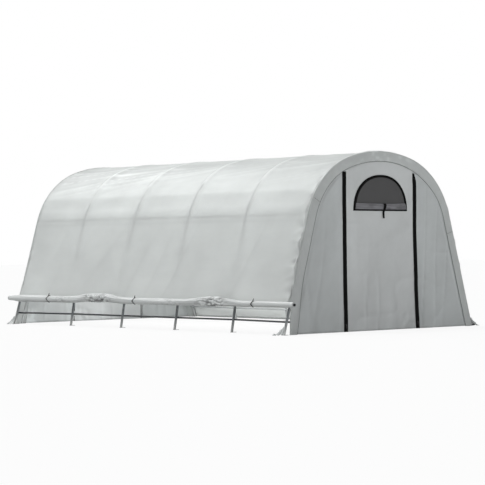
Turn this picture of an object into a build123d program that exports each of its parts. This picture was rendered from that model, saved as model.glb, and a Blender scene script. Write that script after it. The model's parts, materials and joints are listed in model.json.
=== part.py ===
"""A round-topped walk-in greenhouse: six bent steel tube ribs under a translucent sheet cover.

Frame: X across the width, Y along the length with the front end at -Y, Z up from the ground.
The near side (-X) has its lower cover rolled up on a tube, and the far side (+X) is let down.
All sizes are in millimetres.
"""

import copy
import math
import os

from build123d import *

# Overall form of the cover, as its outer section
HALF_WIDTH = 1830.0
HEIGHT = 2440.0
LEG_LEAN = 16.2
SHOULDER_RADIUS = 1145.0
CROWN_RADIUS = 2050.0

# Ribs: the end ones follow the cover all the way, the others stand with steeper legs inside it
BAYS = 5
INNER_LEG_LEAN = 10.2
BAY_LENGTH = 1219.0
TUBE_RADIUS = 17.5
TUBE_WALL = 1.5
SLEEVE_LENGTH = 60.0
SLEEVE_GAP = 0.3
SHOULDER_RING = 4.0
LEG_JOINT_DROP = 90.0

# Sheet and the clearance at which one piece seats on the next
SHEET = 3.0
SEAT = 0.3
HEM_HEIGHT = 5.0

# Feet under the legs
FOOT_LENGTH = 90.0
FOOT_WIDTH = 2 * TUBE_RADIUS
FOOT_THICKNESS = 4.0
FOOT_CORNER = 8.0
ANCHOR_HOLE_RADIUS = 6.0
ANCHOR_HOLE_INSET = 16.0

# Long tubes
RAIL_RADIUS = 12.5
RAIL_WALL = 1.5
BOTTOM_RAIL_HEIGHT = 170.0
RAIL_STRAIGHT = 75.0
RAIL_BEND_RADIUS = 400.0

# Rolled-up cover on the near side
ROLL_HEIGHT = 398.0
ROLL_BULGE_RADIUS = 70.0
ROLL_WAIST_RADIUS = 52.0
ROLL_END_RADIUS = 42.0
ROLL_OVERHANG = 165.0
ROLL_TUBE_STICK_OUT = 14.0
ROLL_TUBE_RADIUS = 17.5
BULGE_PLACES = (-1600.0, 950.0)
BULGE_HALF_LENGTH = 620.0
ROLL_STEP = 160.0
TIE_PLACES = (-2415.0, 110.0, 2190.0)
TIE_CORD_RADIUS = 4.0

# Hem roll along the far side, down on the ground
HEM_ROLL_RADIUS = 20.0

# Band of the end covers, between their edge and the seam of the end panels
BAND_WIDTH = 150.0

# Zipped doorway, as seen from outside the end: the middles of the zips at two heights
ZIP_FOOT_PLACES = (-716.0, 682.0)
ZIP_TOP_PLACES = (-717.0, 632.0)
ZIP_TOP_HEIGHT = 2150.0
ZIP_WIDTH = 62.0
ZIP_PROUD = 2.0

# Half-moon window in the door
WINDOW_WIDTH = 1035.0
WINDOW_HEIGHT = 480.0
WINDOW_SILL = 1630.0
SCREEN = 1.5
TRIM_WIDTH = 22.0
TRIM_LAP = 8.0
TRIM_PROUD = 3.0
FLAP_HEIGHT = 98.0
FLAP_DEPTH = 16.0
STRAP_WIDTH = 22.0
STRAP_THICKNESS = 3.0
STRAP_OFFSET = 58.0
STRAP_DROP = 115.0
STRAP_BENDS = (4.0, -13.0)

# Corner tails of the cover, pulled out along the ground
TAIL_REACH = 170.0
TAIL_RISE = 120.0
TAIL_WIDTH = 140.0
TAIL_THICKNESS = 3.0


class ArchSection:
    """Half of an arch: a leaning leg, a shoulder arc and a crown arc, each tangent to the next."""

    def __init__(self, half_width, height, lean, shoulder_radius, crown_radius):
        self.foot = Vector(half_width, 0)
        self.lean = lean
        self.shoulder_radius = shoulder_radius
        self.crown_radius = crown_radius
        angle = math.radians(lean)
        self.up = Vector(-math.sin(angle), math.cos(angle))
        self.out = Vector(math.cos(angle), math.sin(angle))
        self.crown_centre = Vector(0, height - crown_radius)
        # The shoulder centre lies one radius inside the leg, and on a circle about the crown centre
        start = self.foot - self.out * shoulder_radius - self.crown_centre
        along = start.dot(self.up)
        root = along**2 - start.dot(start) + (crown_radius - shoulder_radius) ** 2
        self.leg_length = math.sqrt(root) - along
        self.shoulder_centre = start + self.crown_centre + self.up * self.leg_length
        spread = self.shoulder_centre - self.crown_centre
        self.join_angle = math.degrees(math.atan2(spread.Y, spread.X))

    def with_lean(self, lean):
        """The same arch with its legs leaving the shoulder arc at another lean."""
        other = copy.copy(self)
        angle = math.radians(lean)
        other.lean = lean
        other.up = Vector(-math.sin(angle), math.cos(angle))
        other.out = Vector(math.cos(angle), math.sin(angle))
        spring = other.shoulder_point(lean)
        other.leg_length = spring.Y / other.up.Y
        other.foot = spring - other.up * other.leg_length
        return other

    def leg_point(self, along, inset=0.0):
        return self.foot + self.up * along - self.out * inset

    def shoulder_point(self, angle, inset=0.0):
        turn = Vector(math.cos(math.radians(angle)), math.sin(math.radians(angle)))
        return self.shoulder_centre + turn * (self.shoulder_radius - inset)

    def crown_point(self, angle, inset=0.0):
        turn = Vector(math.cos(math.radians(angle)), math.sin(math.radians(angle)))
        return self.crown_centre + turn * (self.crown_radius - inset)

    def leg_along_at_height(self, height, inset=0.0):
        """How far up the leg a line this far inside it reaches this height."""
        return (height + self.out.Y * inset) / self.up.Y


cover_section = ArchSection(HALF_WIDTH, HEIGHT, LEG_LEAN, SHOULDER_RADIUS, CROWN_RADIUS)
inner_section = cover_section.with_lean(INNER_LEG_LEAN)

RIB_INSET = SHEET + SEAT + TUBE_RADIUS
FRAME_LENGTH = BAYS * BAY_LENGTH
RIB_PLACES = [BAY_LENGTH * i - FRAME_LENGTH / 2 for i in range(BAYS + 1)]
END_INNER = FRAME_LENGTH / 2 + TUBE_RADIUS + SEAT
END_OUTER = END_INNER + SHEET
NEAR, FAR = -1, 1
FRONT, REAR = -1, 1


def end_plane(end, distance):
    """A plane facing out of one end, with its own X to the right and its own Y up."""
    return Plane(origin=(0, end * distance, 0), x_dir=(-end, 0, 0), z_dir=(0, end, 0))


def side_point(point, side):
    """A point of the section, given for the far side, on the side asked for."""
    return (side * point.X, point.Y)


def arc_band(section, centre, radius, start_angle, end_angle, side):
    """The closed outline of a stretch of sheet between two angles of one arc."""
    inner = radius - SHEET
    turns = [math.radians(a) for a in (start_angle, (start_angle + end_angle) / 2, end_angle)]
    outer_points = [centre + Vector(math.cos(t), math.sin(t)) * radius for t in turns]
    inner_points = [centre + Vector(math.cos(t), math.sin(t)) * inner for t in turns]
    outer_points = [side_point(p, side) for p in outer_points]
    inner_points = [side_point(p, side) for p in inner_points]
    ThreePointArc(*outer_points)
    Line(outer_points[2], inner_points[2])
    ThreePointArc(*inner_points)
    Line(inner_points[0], outer_points[0])


def arch_outline(section, inset, bottom, side_shift=0.0):
    """The closed outline of a whole arch, this far inside the section and down to a flat bottom."""
    low = section.leg_point(section.leg_along_at_height(bottom, inset), inset)
    spring = section.leg_point(section.leg_length, inset)
    middle_angle = (section.lean + section.join_angle) / 2
    shoulder = section.shoulder_point(middle_angle, inset)
    join = section.shoulder_point(section.join_angle, inset)
    top = section.crown_point(90, inset)
    for side in (NEAR, FAR):
        Line(side_point(low, side), side_point(spring, side))
        ThreePointArc(*[side_point(p, side) for p in (spring, shoulder, join)])
    ThreePointArc(side_point(join, FAR), (top.X, top.Y), side_point(join, NEAR))
    Line(side_point(low, NEAR), side_point(low, FAR))


def save(builder, label):
    """Names a finished piece and writes it to its own file."""
    builder.part.label = label
    export_step(builder.part, f"parts/{label}.step")


# Ribs: straight legs, shoulder bends and a crown, sleeved into each other


def bore_radius():
    return TUBE_RADIUS - TUBE_WALL


def in_arch(point, side=FAR):
    """A point of the section as a point of the house, in the plane of the rib at the middle."""
    return Vector(side * point.X, 0, point.Y)


def rib_leg(section, side):
    """One leg tube, cut level on its foot plate and open at the top for the bend's sleeve."""
    below = in_arch(section.leg_point(-FOOT_LENGTH, RIB_INSET), side)
    top = in_arch(section.leg_point(section.leg_length - LEG_JOINT_DROP, RIB_INSET), side)
    with BuildPart() as leg:
        with BuildSketch(Plane(origin=below, z_dir=top - below)):
            Circle(TUBE_RADIUS)
            Circle(bore_radius(), mode=Mode.SUBTRACT)
        extrude(amount=(top - below).length)
        split(bisect_by=Plane.XY.offset(FOOT_THICKNESS), keep=Keep.TOP)
    return leg.part


def swaged_end(mouth, outward, turn=None):
    """The swaged end of a tube: a ring inside its mouth, and a narrower sleeve that stands out.

    The sleeve runs straight, or follows the bend it is pushed into when the middle and end of
    its turn are given.
    """
    sleeve_radius = bore_radius() - SLEEVE_GAP
    across = Plane(origin=mouth, z_dir=outward)
    with BuildPart() as swage:
        with BuildSketch(across):
            Circle(TUBE_RADIUS - TUBE_WALL / 2)
            Circle(sleeve_radius - TUBE_WALL, mode=Mode.SUBTRACT)
        extrude(amount=-SHOULDER_RING)
        with BuildLine():
            if turn:
                ThreePointArc(mouth, *turn)
            else:
                Line(mouth, mouth + outward * SLEEVE_LENGTH)
        with BuildSketch(across):
            Circle(sleeve_radius)
            Circle(sleeve_radius - TUBE_WALL, mode=Mode.SUBTRACT)
        sweep()
    return swage.part


def rib_bend(section, side):
    """One shoulder bend: a short straight, then the shoulder arc, sleeved down into the leg."""
    low = in_arch(section.leg_point(section.leg_length - LEG_JOINT_DROP, RIB_INSET), side)
    spring = in_arch(section.leg_point(section.leg_length, RIB_INSET), side)
    middle_angle = (section.lean + section.join_angle) / 2
    middle = in_arch(section.shoulder_point(middle_angle, RIB_INSET), side)
    join = in_arch(section.shoulder_point(section.join_angle, RIB_INSET), side)
    with BuildPart() as bend:
        with BuildLine():
            Line(low, spring)
            ThreePointArc(spring, middle, join)
        with BuildSketch(Plane(origin=low, z_dir=spring - low)):
            Circle(TUBE_RADIUS)
            Circle(bore_radius(), mode=Mode.SUBTRACT)
        sweep()
        add(swaged_end(low, (low - spring).normalized()))
    return bend.part


def rib_crown():
    """The crown tube over the top, sleeved into both bends."""
    section = cover_section
    sleeve_turn = math.degrees(SLEEVE_LENGTH / (SHOULDER_RADIUS - RIB_INSET))
    top = in_arch(section.crown_point(90, RIB_INSET))
    ends = [in_arch(section.crown_point(section.join_angle, RIB_INSET), s) for s in (NEAR, FAR)]
    with BuildPart() as crown:
        with BuildLine() as path:
            ThreePointArc(ends[0], top, ends[1])
        with BuildSketch(Plane(origin=ends[0], z_dir=path.line % 0)):
            Circle(TUBE_RADIUS)
            Circle(bore_radius(), mode=Mode.SUBTRACT)
        sweep()
        for side, mouth, outward in (
            (NEAR, ends[0], (path.line % 0) * -1),
            (FAR, ends[1], path.line % 1),
        ):
            turns = [section.join_angle - sleeve_turn * part for part in (0.5, 1)]
            arc = [in_arch(section.shoulder_point(turn, RIB_INSET), side) for turn in turns]
            add(swaged_end(mouth, outward, arc))
    return crown.part


def one_per_rib(end_piece, inner_piece, label):
    """Copies of a piece at each rib, one kind at the ends and one between, as one node."""
    with BuildPart() as row:
        with Locations((0, RIB_PLACES[0], 0), (0, RIB_PLACES[-1], 0)):
            add(end_piece)
        with Locations(*[(0, y, 0) for y in RIB_PLACES[1:-1]]):
            add(inner_piece)
    save(row, label)


def foot_outer_edge(section):
    """How far out a foot plate reaches: to the outside of the leg at the ground."""
    leg_axis = section.leg_point(section.leg_along_at_height(0, RIB_INSET), RIB_INSET)
    return leg_axis.X + TUBE_RADIUS / section.up.Y


def foot_plate(section, side):
    """A plate under one leg, with an anchor hole at its inner end."""
    outer_edge = foot_outer_edge(section)
    middle = outer_edge - FOOT_LENGTH / 2
    hole = outer_edge - FOOT_LENGTH + ANCHOR_HOLE_INSET
    with BuildPart() as foot:
        with BuildSketch():
            with Locations((side * middle, 0)):
                RectangleRounded(FOOT_LENGTH, FOOT_WIDTH, FOOT_CORNER)
            with Locations((side * hole, 0)):
                Circle(ANCHOR_HOLE_RADIUS, mode=Mode.SUBTRACT)
        extrude(amount=FOOT_THICKNESS)
    return foot.part


# Long tubes


def long_tube(x, z, half_length, radius, wall):
    """A straight tube along Y, centred on the middle of the house."""
    with BuildPart() as tube:
        with BuildSketch(Plane(origin=(x, half_length, z), x_dir=(1, 0, 0), z_dir=(0, -1, 0))):
            Circle(radius)
            Circle(radius - wall, mode=Mode.SUBTRACT)
        extrude(amount=2 * half_length)
    return tube.part


def rail_place(section, side):
    """How far across the middle of the bottom rail lies where it seats inside this rib's leg."""
    inset = RIB_INSET + TUBE_RADIUS + SEAT + RAIL_RADIUS
    along = section.leg_along_at_height(BOTTOM_RAIL_HEIGHT, inset)
    return side_point(section.leg_point(along, inset), side)[0]


def bottom_rail(side, label):
    """The long rail inside the legs, set outward in its end bays to meet the end ribs."""
    inner_x, end_x = rail_place(inner_section, side), rail_place(cover_section, side)
    half_length = END_INNER - SEAT
    leaves = RIB_PLACES[-2] + RAIL_STRAIGHT
    arrives = RIB_PLACES[-1] - RAIL_STRAIGHT
    half = [(inner_x, leaves), (end_x, arrives), (end_x, half_length)]
    corners = [(x, -y) for x, y in reversed(half)] + half
    with BuildPart() as rail:
        with BuildLine() as path:
            FilletPolyline(*[(x, y, BOTTOM_RAIL_HEIGHT) for x, y in corners], radius=RAIL_BEND_RADIUS)
        with BuildSketch(Plane(origin=path.line @ 0, z_dir=path.line % 0)):
            Circle(RAIL_RADIUS)
            Circle(RAIL_RADIUS - RAIL_WALL, mode=Mode.SUBTRACT)
        sweep(path=path.line)
    save(rail, label)


def purlin(centre, label):
    """Lengths of tube between neighbouring ribs, in line with the middles of the rib tubes."""
    half = BAY_LENGTH / 2 - TUBE_RADIUS - SEAT
    bay_middles = [y + BAY_LENGTH / 2 for y in RIB_PLACES[:-1]]
    with BuildPart() as tubes:
        with Locations(*[(0, y, 0) for y in bay_middles]):
            add(long_tube(centre[0], centre[1], half, RAIL_RADIUS, RAIL_WALL))
    save(tubes, label)


# Cover


def cover_strip(points_or_arc, label):
    """One lengthwise strip of the cover, as long as the frame."""
    with BuildPart() as strip:
        with BuildSketch(end_plane(FRONT, -END_INNER)):
            with BuildLine():
                points_or_arc()
            make_face()
        extrude(amount=2 * END_INNER)
    save(strip, label)


def wall_outline(side, low, high):
    """The outline of the straight wall between two distances up the leg."""
    outer = [cover_section.leg_point(low), cover_section.leg_point(high)]
    inner = [cover_section.leg_point(high, SHEET), cover_section.leg_point(low, SHEET)]
    Polyline(*[side_point(p, side) for p in outer + inner], close=True)


def roll_axis():
    """Centre of the near roll: seated on the outside of the legs at its fullest."""
    outset = ROLL_BULGE_RADIUS + SEAT - (SHEET + SEAT)
    along = cover_section.leg_along_at_height(ROLL_HEIGHT, -outset)
    return along, outset


def build_cover():
    section = cover_section
    along, outset = roll_axis()
    clear = ROLL_BULGE_RADIUS + SEAT
    wall_end = along + math.sqrt(clear**2 - outset**2)
    ground = section.leg_along_at_height(HEM_HEIGHT, SHEET)
    spring = section.leg_length
    cover_strip(lambda: wall_outline(NEAR, wall_end, spring), "cover_near_wall")
    cover_strip(lambda: wall_outline(FAR, ground, spring), "cover_far_wall")
    for side, label in ((NEAR, "cover_near_shoulder"), (FAR, "cover_far_shoulder")):
        cover_strip(
            lambda: arc_band(
                section,
                section.shoulder_centre,
                SHOULDER_RADIUS,
                section.lean,
                section.join_angle,
                side,
            ),
            label,
        )
    cover_strip(
        lambda: arc_band(
            section,
            section.crown_centre,
            CROWN_RADIUS,
            section.join_angle,
            180 - section.join_angle,
            FAR,
        ),
        "cover_crown",
    )


# Rolled-up side


def roll_radius_at(y):
    """Radius of the roll: waists under the ties, and a smooth swelling at each bulge."""
    radius = ROLL_WAIST_RADIUS
    for place in BULGE_PLACES:
        reach = abs(y - place) / BULGE_HALF_LENGTH
        if reach < 1:
            swell = 0.5 + 0.5 * math.cos(math.pi * reach)
            radius += (ROLL_BULGE_RADIUS - ROLL_WAIST_RADIUS) * swell
    return radius


def near_a_tie(y):
    return min(abs(y - place) for place in TIE_PLACES) < ROLL_STEP / 2


def build_near_roll():
    along, outset = roll_axis()
    centre = side_point(cover_section.leg_point(along, -outset), NEAR)
    tube_end = END_OUTER + ROLL_OVERHANG
    cloth_end = tube_end - ROLL_TUBE_STICK_OUT
    steps = round(2 * cloth_end / ROLL_STEP)
    knots = [cloth_end * (2 * i / steps - 1) for i in range(1, steps)]
    knots = sorted([y for y in knots if not near_a_tie(y)] + list(TIE_PLACES))
    edge = [(-cloth_end, ROLL_END_RADIUS)]
    edge += [(y, roll_radius_at(y)) for y in knots]
    edge += [(cloth_end, ROLL_END_RADIUS)]
    with BuildPart() as roll:
        with BuildSketch(Plane(origin=(centre[0], 0, centre[1]), x_dir=(0, 1, 0), z_dir=(1, 0, 0))):
            with BuildLine():
                Spline(*edge, tangents=[(1, 0), (1, 0)])
                Polyline(
                    edge[-1],
                    (cloth_end, ROLL_TUBE_RADIUS),
                    (-cloth_end, ROLL_TUBE_RADIUS),
                    edge[0],
                )
            make_face()
        revolve(axis=Axis((centre[0], 0, centre[1]), (0, 1, 0)), revolution_arc=360)
    save(roll, "near_roll_cloth")
    with BuildPart() as tube:
        add(long_tube(centre[0], centre[1], tube_end, ROLL_TUBE_RADIUS, TUBE_WALL))
    save(tube, "near_roll_tube")
    with BuildPart() as ties:
        for place in TIE_PLACES:
            ring_radius = roll_radius_at(place) + SEAT + TIE_CORD_RADIUS
            with Locations(Location((centre[0], place, centre[1]), (90, 0, 0))):
                Torus(ring_radius, TIE_CORD_RADIUS)
    save(ties, "near_roll_ties")


def build_far_hem():
    """The far cover's hem roll, on the ground outside the far wall."""
    outset = HEM_ROLL_RADIUS + SEAT
    along = cover_section.leg_along_at_height(HEM_ROLL_RADIUS, -outset)
    centre = side_point(cover_section.leg_point(along, -outset), FAR)
    with BuildPart() as hem:
        add(
            long_tube(
                centre[0],
                centre[1],
                END_OUTER,
                HEM_ROLL_RADIUS,
                HEM_ROLL_RADIUS - RAIL_RADIUS,
            )
        )
    save(hem, "far_hem_cloth")
    with BuildPart() as tube:
        add(
            long_tube(
                centre[0],
                centre[1],
                END_OUTER + ROLL_TUBE_STICK_OUT,
                RAIL_RADIUS,
                RAIL_WALL,
            )
        )
    save(tube, "far_hem_tube")


# Ends


def window_half_width(height, grow):
    """Half the width of the window at this height, when it is grown all round by this much."""
    radius = WINDOW_WIDTH / 2
    centre = WINDOW_SILL + WINDOW_HEIGHT - radius
    return math.sqrt((radius + grow) ** 2 - (height - centre) ** 2)


def half_moon(grow):
    """Closed outline of the window, grown all round by this much."""
    low = WINDOW_SILL - grow
    half = window_half_width(low, grow)
    Line((-half, low), (half, low))
    ThreePointArc((half, low), (0, WINDOW_SILL + WINDOW_HEIGHT + grow), (-half, low))


def build_end(end, name):
    tall = HEIGHT * 1.1
    far_out = HALF_WIDTH * 1.1

    with BuildPart() as band:
        with BuildSketch(end_plane(end, END_INNER)):
            with BuildLine():
                arch_outline(cover_section, 0, HEM_HEIGHT)
            make_face()
            with BuildLine():
                arch_outline(cover_section, BAND_WIDTH, -HEM_HEIGHT)
            make_face(mode=Mode.SUBTRACT)
        extrude(amount=SHEET)
    save(band, f"{name}_band")

    def edge_line(zip_index, shift):
        """A long line beside one zip, from the ground up, as its two end points."""
        foot, top = ZIP_FOOT_PLACES[zip_index], ZIP_TOP_PLACES[zip_index]
        slope = (top - foot) / ZIP_TOP_HEIGHT
        return [(foot + shift, 0), (foot + shift + slope * tall, tall)]

    def slice_of_panel(left_line, right_line, thickness):
        """The part of the end inside the seam between two long lines."""
        with BuildPart() as piece:
            with BuildSketch(end_plane(end, END_INNER)):
                with BuildLine():
                    arch_outline(cover_section, BAND_WIDTH, HEM_HEIGHT)
                make_face()
                with BuildLine():
                    Polyline(*left_line, *reversed(right_line), close=True)
                make_face(mode=Mode.INTERSECT)
            extrude(amount=thickness)
        return piece.part

    half_zip = ZIP_WIDTH / 2
    outside_left = [(-far_out, 0), (-far_out, tall)]
    outside_right = [(far_out, 0), (far_out, tall)]
    with BuildPart() as left_panel:
        add(slice_of_panel(outside_left, edge_line(0, -half_zip), SHEET))
    save(left_panel, f"{name}_left_panel")
    with BuildPart() as right_panel:
        add(slice_of_panel(edge_line(1, half_zip), outside_right, SHEET))
    save(right_panel, f"{name}_right_panel")

    with BuildPart() as zips:
        for index in (0, 1):
            edges = edge_line(index, -half_zip), edge_line(index, half_zip)
            add(slice_of_panel(*edges, SHEET + ZIP_PROUD))
    save(zips, f"{name}_zips")

    with BuildPart() as door:
        add(slice_of_panel(edge_line(0, half_zip), edge_line(1, -half_zip), SHEET))
        with BuildSketch(end_plane(end, END_INNER)):
            with BuildLine():
                half_moon(0)
            make_face()
        extrude(amount=SHEET, mode=Mode.SUBTRACT)
    save(door, f"{name}_door_panel")

    with BuildPart() as screen:
        with BuildSketch(end_plane(end, END_INNER + (SHEET - SCREEN) / 2)):
            with BuildLine():
                half_moon(0)
            make_face()
        extrude(amount=SCREEN)
    save(screen, f"{name}_window_screen")

    with BuildPart() as trim:
        with BuildSketch(end_plane(end, END_OUTER)):
            with BuildLine():
                half_moon(TRIM_LAP)
            make_face()
            with BuildLine():
                half_moon(TRIM_LAP - TRIM_WIDTH)
            make_face(mode=Mode.SUBTRACT)
        extrude(amount=TRIM_PROUD)
    save(trim, f"{name}_window_trim")

    build_window_flap(end, name)


def build_window_flap(end, name):
    """The flap of sheet folded down along the sill, and the strap that holds it."""
    screen_face = END_INNER + (SHEET + SCREEN) / 2
    inside_trim = TRIM_LAP - TRIM_WIDTH - SEAT
    low = WINDOW_SILL - inside_trim
    high = low + FLAP_HEIGHT
    half_low = window_half_width(low, inside_trim) - SEAT
    half_high = window_half_width(high, inside_trim) - SEAT
    back = screen_face + SEAT
    with BuildPart() as flap:
        with BuildSketch(end_plane(end, back)):
            with BuildLine():
                Polyline(
                    (-half_low, low),
                    (half_low, low),
                    (half_high, high),
                    (-half_high, high),
                    close=True,
                )
            make_face()
        extrude(amount=FLAP_DEPTH)
        long_edges = flap.edges().filter_by(Axis.X).group_by(Axis.Y)
        fillet(long_edges[0 if end == FRONT else -1], FLAP_DEPTH * 0.45)
    save(flap, f"{name}_window_flap")

    # The strap hangs down the flap, slants back over the trim and hangs on down the door
    flap_face = back + FLAP_DEPTH + SEAT
    trim_face = END_OUTER + TRIM_PROUD + SEAT
    upper_bend, lower_bend = [low + bend for bend in STRAP_BENDS]
    slant = math.atan2(flap_face - trim_face, upper_bend - lower_bend)
    drop = STRAP_THICKNESS * math.tan(slant / 2)
    side_on = Plane(origin=(-end * STRAP_OFFSET, 0, 0), x_dir=(0, end, 0), z_dir=(end, 0, 0))
    with BuildPart() as strap:
        with BuildSketch(side_on):
            with BuildLine():
                Polyline(
                    (flap_face, high),
                    (flap_face, upper_bend),
                    (trim_face, lower_bend),
                    (trim_face, low - STRAP_DROP),
                    (trim_face + STRAP_THICKNESS, low - STRAP_DROP),
                    (trim_face + STRAP_THICKNESS, lower_bend - drop),
                    (flap_face + STRAP_THICKNESS, upper_bend - drop),
                    (flap_face + STRAP_THICKNESS, high),
                    close=True,
                )
            make_face()
        extrude(amount=STRAP_WIDTH / 2, both=True)
    save(strap, f"{name}_window_strap")


def build_tails():
    """A tail of cover at each corner, drawn out and down to the ground."""
    root = cover_section.leg_point(cover_section.leg_along_at_height(TAIL_RISE))
    root_low = cover_section.leg_point(
        cover_section.leg_along_at_height(TAIL_RISE - TAIL_THICKNESS)
    )
    tip = (HALF_WIDTH + TAIL_REACH, TAIL_THICKNESS)
    names = {
        (NEAR, FRONT): "near_front_tail",
        (NEAR, REAR): "near_rear_tail",
        (FAR, FRONT): "far_front_tail",
        (FAR, REAR): "far_rear_tail",
    }
    for (side, end), label in names.items():
        start = END_OUTER if end == FRONT else -(END_OUTER - TAIL_WIDTH)
        with BuildPart() as tail:
            with BuildSketch(end_plane(FRONT, start)):
                with BuildLine():
                    Polyline(
                        (side * (root.X + SEAT), root.Y),
                        (side * tip[0], tip[1]),
                        (side * tip[0], 0),
                        (side * (tip[0] - TAIL_THICKNESS * 2), 0),
                        (side * (root_low.X + SEAT), root_low.Y),
                        close=True,
                    )
                make_face()
            extrude(amount=-TAIL_WIDTH)
        save(tail, label)


def main():
    os.makedirs("parts", exist_ok=True)
    for side, name in ((NEAR, "near"), (FAR, "far")):
        for make, kind in ((rib_leg, "rib_legs"), (rib_bend, "rib_bends"), (foot_plate, "feet")):
            end_piece, inner_piece = make(cover_section, side), make(inner_section, side)
            one_per_rib(end_piece, inner_piece, f"{name}_{kind}")
        bottom_rail(side, f"{name}_bottom_rail")
        spring = cover_section.leg_point(cover_section.leg_length, RIB_INSET)
        purlin(side_point(spring, side), f"{name}_purlin")
    one_per_rib(rib_crown(), rib_crown(), "rib_crowns")
    purlin((0, HEIGHT - RIB_INSET), "ridge_purlin")
    build_cover()
    build_near_roll()
    build_far_hem()
    build_end(FRONT, "front")
    build_end(REAR, "rear")
    build_tails()


main()
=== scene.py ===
"""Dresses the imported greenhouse: cloth, webbing, mesh and steel over the frame that the CAD made.

Same frame as the CAD, in metres: X across, Y along with the front end at -Y, Z up.
The near side (-X) has its lower cover rolled up, and the far side is let down.
"""

import json
import math

import bpy
import numpy as np
from mathutils import Matrix, Vector


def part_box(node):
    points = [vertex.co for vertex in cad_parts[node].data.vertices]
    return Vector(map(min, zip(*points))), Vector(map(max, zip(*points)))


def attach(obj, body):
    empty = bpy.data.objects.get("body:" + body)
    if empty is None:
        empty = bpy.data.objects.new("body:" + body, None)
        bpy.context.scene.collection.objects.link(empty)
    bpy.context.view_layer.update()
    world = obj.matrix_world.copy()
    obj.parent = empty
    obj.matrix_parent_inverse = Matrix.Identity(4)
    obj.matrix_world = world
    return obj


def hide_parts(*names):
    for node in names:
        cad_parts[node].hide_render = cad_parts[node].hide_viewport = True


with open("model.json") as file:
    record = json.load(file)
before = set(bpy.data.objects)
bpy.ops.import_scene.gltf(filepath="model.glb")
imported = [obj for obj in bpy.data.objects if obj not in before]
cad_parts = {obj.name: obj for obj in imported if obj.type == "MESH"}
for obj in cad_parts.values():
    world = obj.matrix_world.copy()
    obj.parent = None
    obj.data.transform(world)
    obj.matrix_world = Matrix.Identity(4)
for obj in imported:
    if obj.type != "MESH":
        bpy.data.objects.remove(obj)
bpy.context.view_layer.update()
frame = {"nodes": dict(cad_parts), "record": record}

# Section of the cover, as in the CAD
HALF_WIDTH = 1.83
HEIGHT = 2.44
LEG_LEAN = math.radians(16.2)
SHOULDER_RADIUS = 1.145
CROWN_RADIUS = 2.05
BAND_WIDTH = 0.15
BAY_LENGTH = 1.219
BAYS = 5
RIB_PLACES = [BAY_LENGTH * (i - BAYS / 2) for i in range(BAYS + 1)]
END_FACE = -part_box("front_band")[0].y
HEM_HEIGHT = 0.005
PANEL_EDGE = BAND_WIDTH - 0.012
BAND_BEND = 0.020
CLOTH_THICKNESS = 0.0012
DOOR_SPLIT_HEIGHT = 1.50

# Rolled-up cover, as in the CAD
ROLL_LOW, ROLL_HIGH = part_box("near_roll_tube")
ROLL_X = (ROLL_LOW.x + ROLL_HIGH.x) / 2
ROLL_Z = (ROLL_LOW.z + ROLL_HIGH.z) / 2
ROLL_CLOTH_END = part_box("near_roll_cloth")[1].y
ROLL_BULGE_RADIUS = 0.061
ROLL_WAIST_RADIUS = 0.0445
ROLL_TAPER = 0.0027
ROLL_END_RADIUS = 0.036
BULGE_PLACES = (-1.60, 0.95)
BULGE_LIFTS = (0.016, 0.030)
BULGE_HALF_LENGTH = 0.62
TIE_PLACES = (-2.415, 0.11, 2.19)

# Zips, as the CAD places them, and the window
ZIP_HEIGHTS = (0.0, 0.617, 1.34, 1.70, 2.01, 2.14, 2.40)
ZIP_PATHS = (
    (-0.706, -0.704, -0.706, -0.710, -0.711, -0.711, -0.711),
    (0.696, 0.666, 0.643, 0.649, 0.650, 0.628, 0.590),
)
ZIP_TOP_HEIGHT = 2.15
ZIP_GAP = 0.0008
WINDOW_X = -0.020
WINDOW_RADIUS = 1.022 / 2
ARCH_POWER = 2 / 2.2
SILL_SHARE = 0.42
TOP_SHARE = 0.70
WINDOW_SILL = 1.63
WINDOW_TOP = 2.11

NEAR, FAR = -1, 1
FRONT, REAR = -1, 1
GRID = 0.034
COVER_GRID = 0.0285


# Smooth repeatable noise


def lattice_noise(u, v, seed):
    """Smooth noise from -1 to 1 over a plane, one cell to each unit."""
    size = 128
    values = np.random.default_rng(seed).uniform(-1, 1, (size, size))
    u, v = np.broadcast_arrays(np.asarray(u, float), np.asarray(v, float))
    iu, iv = np.floor(u).astype(int), np.floor(v).astype(int)
    fu, fv = u - iu, v - iv
    fu = fu**3 * (fu * (fu * 6 - 15) + 10)
    fv = fv**3 * (fv * (fv * 6 - 15) + 10)
    a = values[iu % size, iv % size]
    b = values[(iu + 1) % size, iv % size]
    c = values[iu % size, (iv + 1) % size]
    d = values[(iu + 1) % size, (iv + 1) % size]
    return (a * (1 - fu) + b * fu) * (1 - fv) + (c * (1 - fu) + d * fu) * fv


def layered_noise(u, v, seed, layers=3):
    total = 0
    for i in range(layers):
        total = total + lattice_noise(u * 2**i, v * 2**i, seed + i) / 2**i
    return total / 1.75


def creases(u, v, seed, sharpness=3.0):
    """Thin raised lines from 0 to 1, where the noise crosses zero."""
    return np.clip(1 - np.abs(lattice_noise(u, v, seed)) * sharpness, 0, 1) ** 2


def smooth(low, high, x):
    t = np.clip((x - low) / (high - low), 0, 1)
    return t * t * (3 - 2 * t)


def near_to(x, place, width):
    return np.exp(-(((x - place) / width) ** 2))


# The section of the cover, by the distance along it from the near ground line


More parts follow.
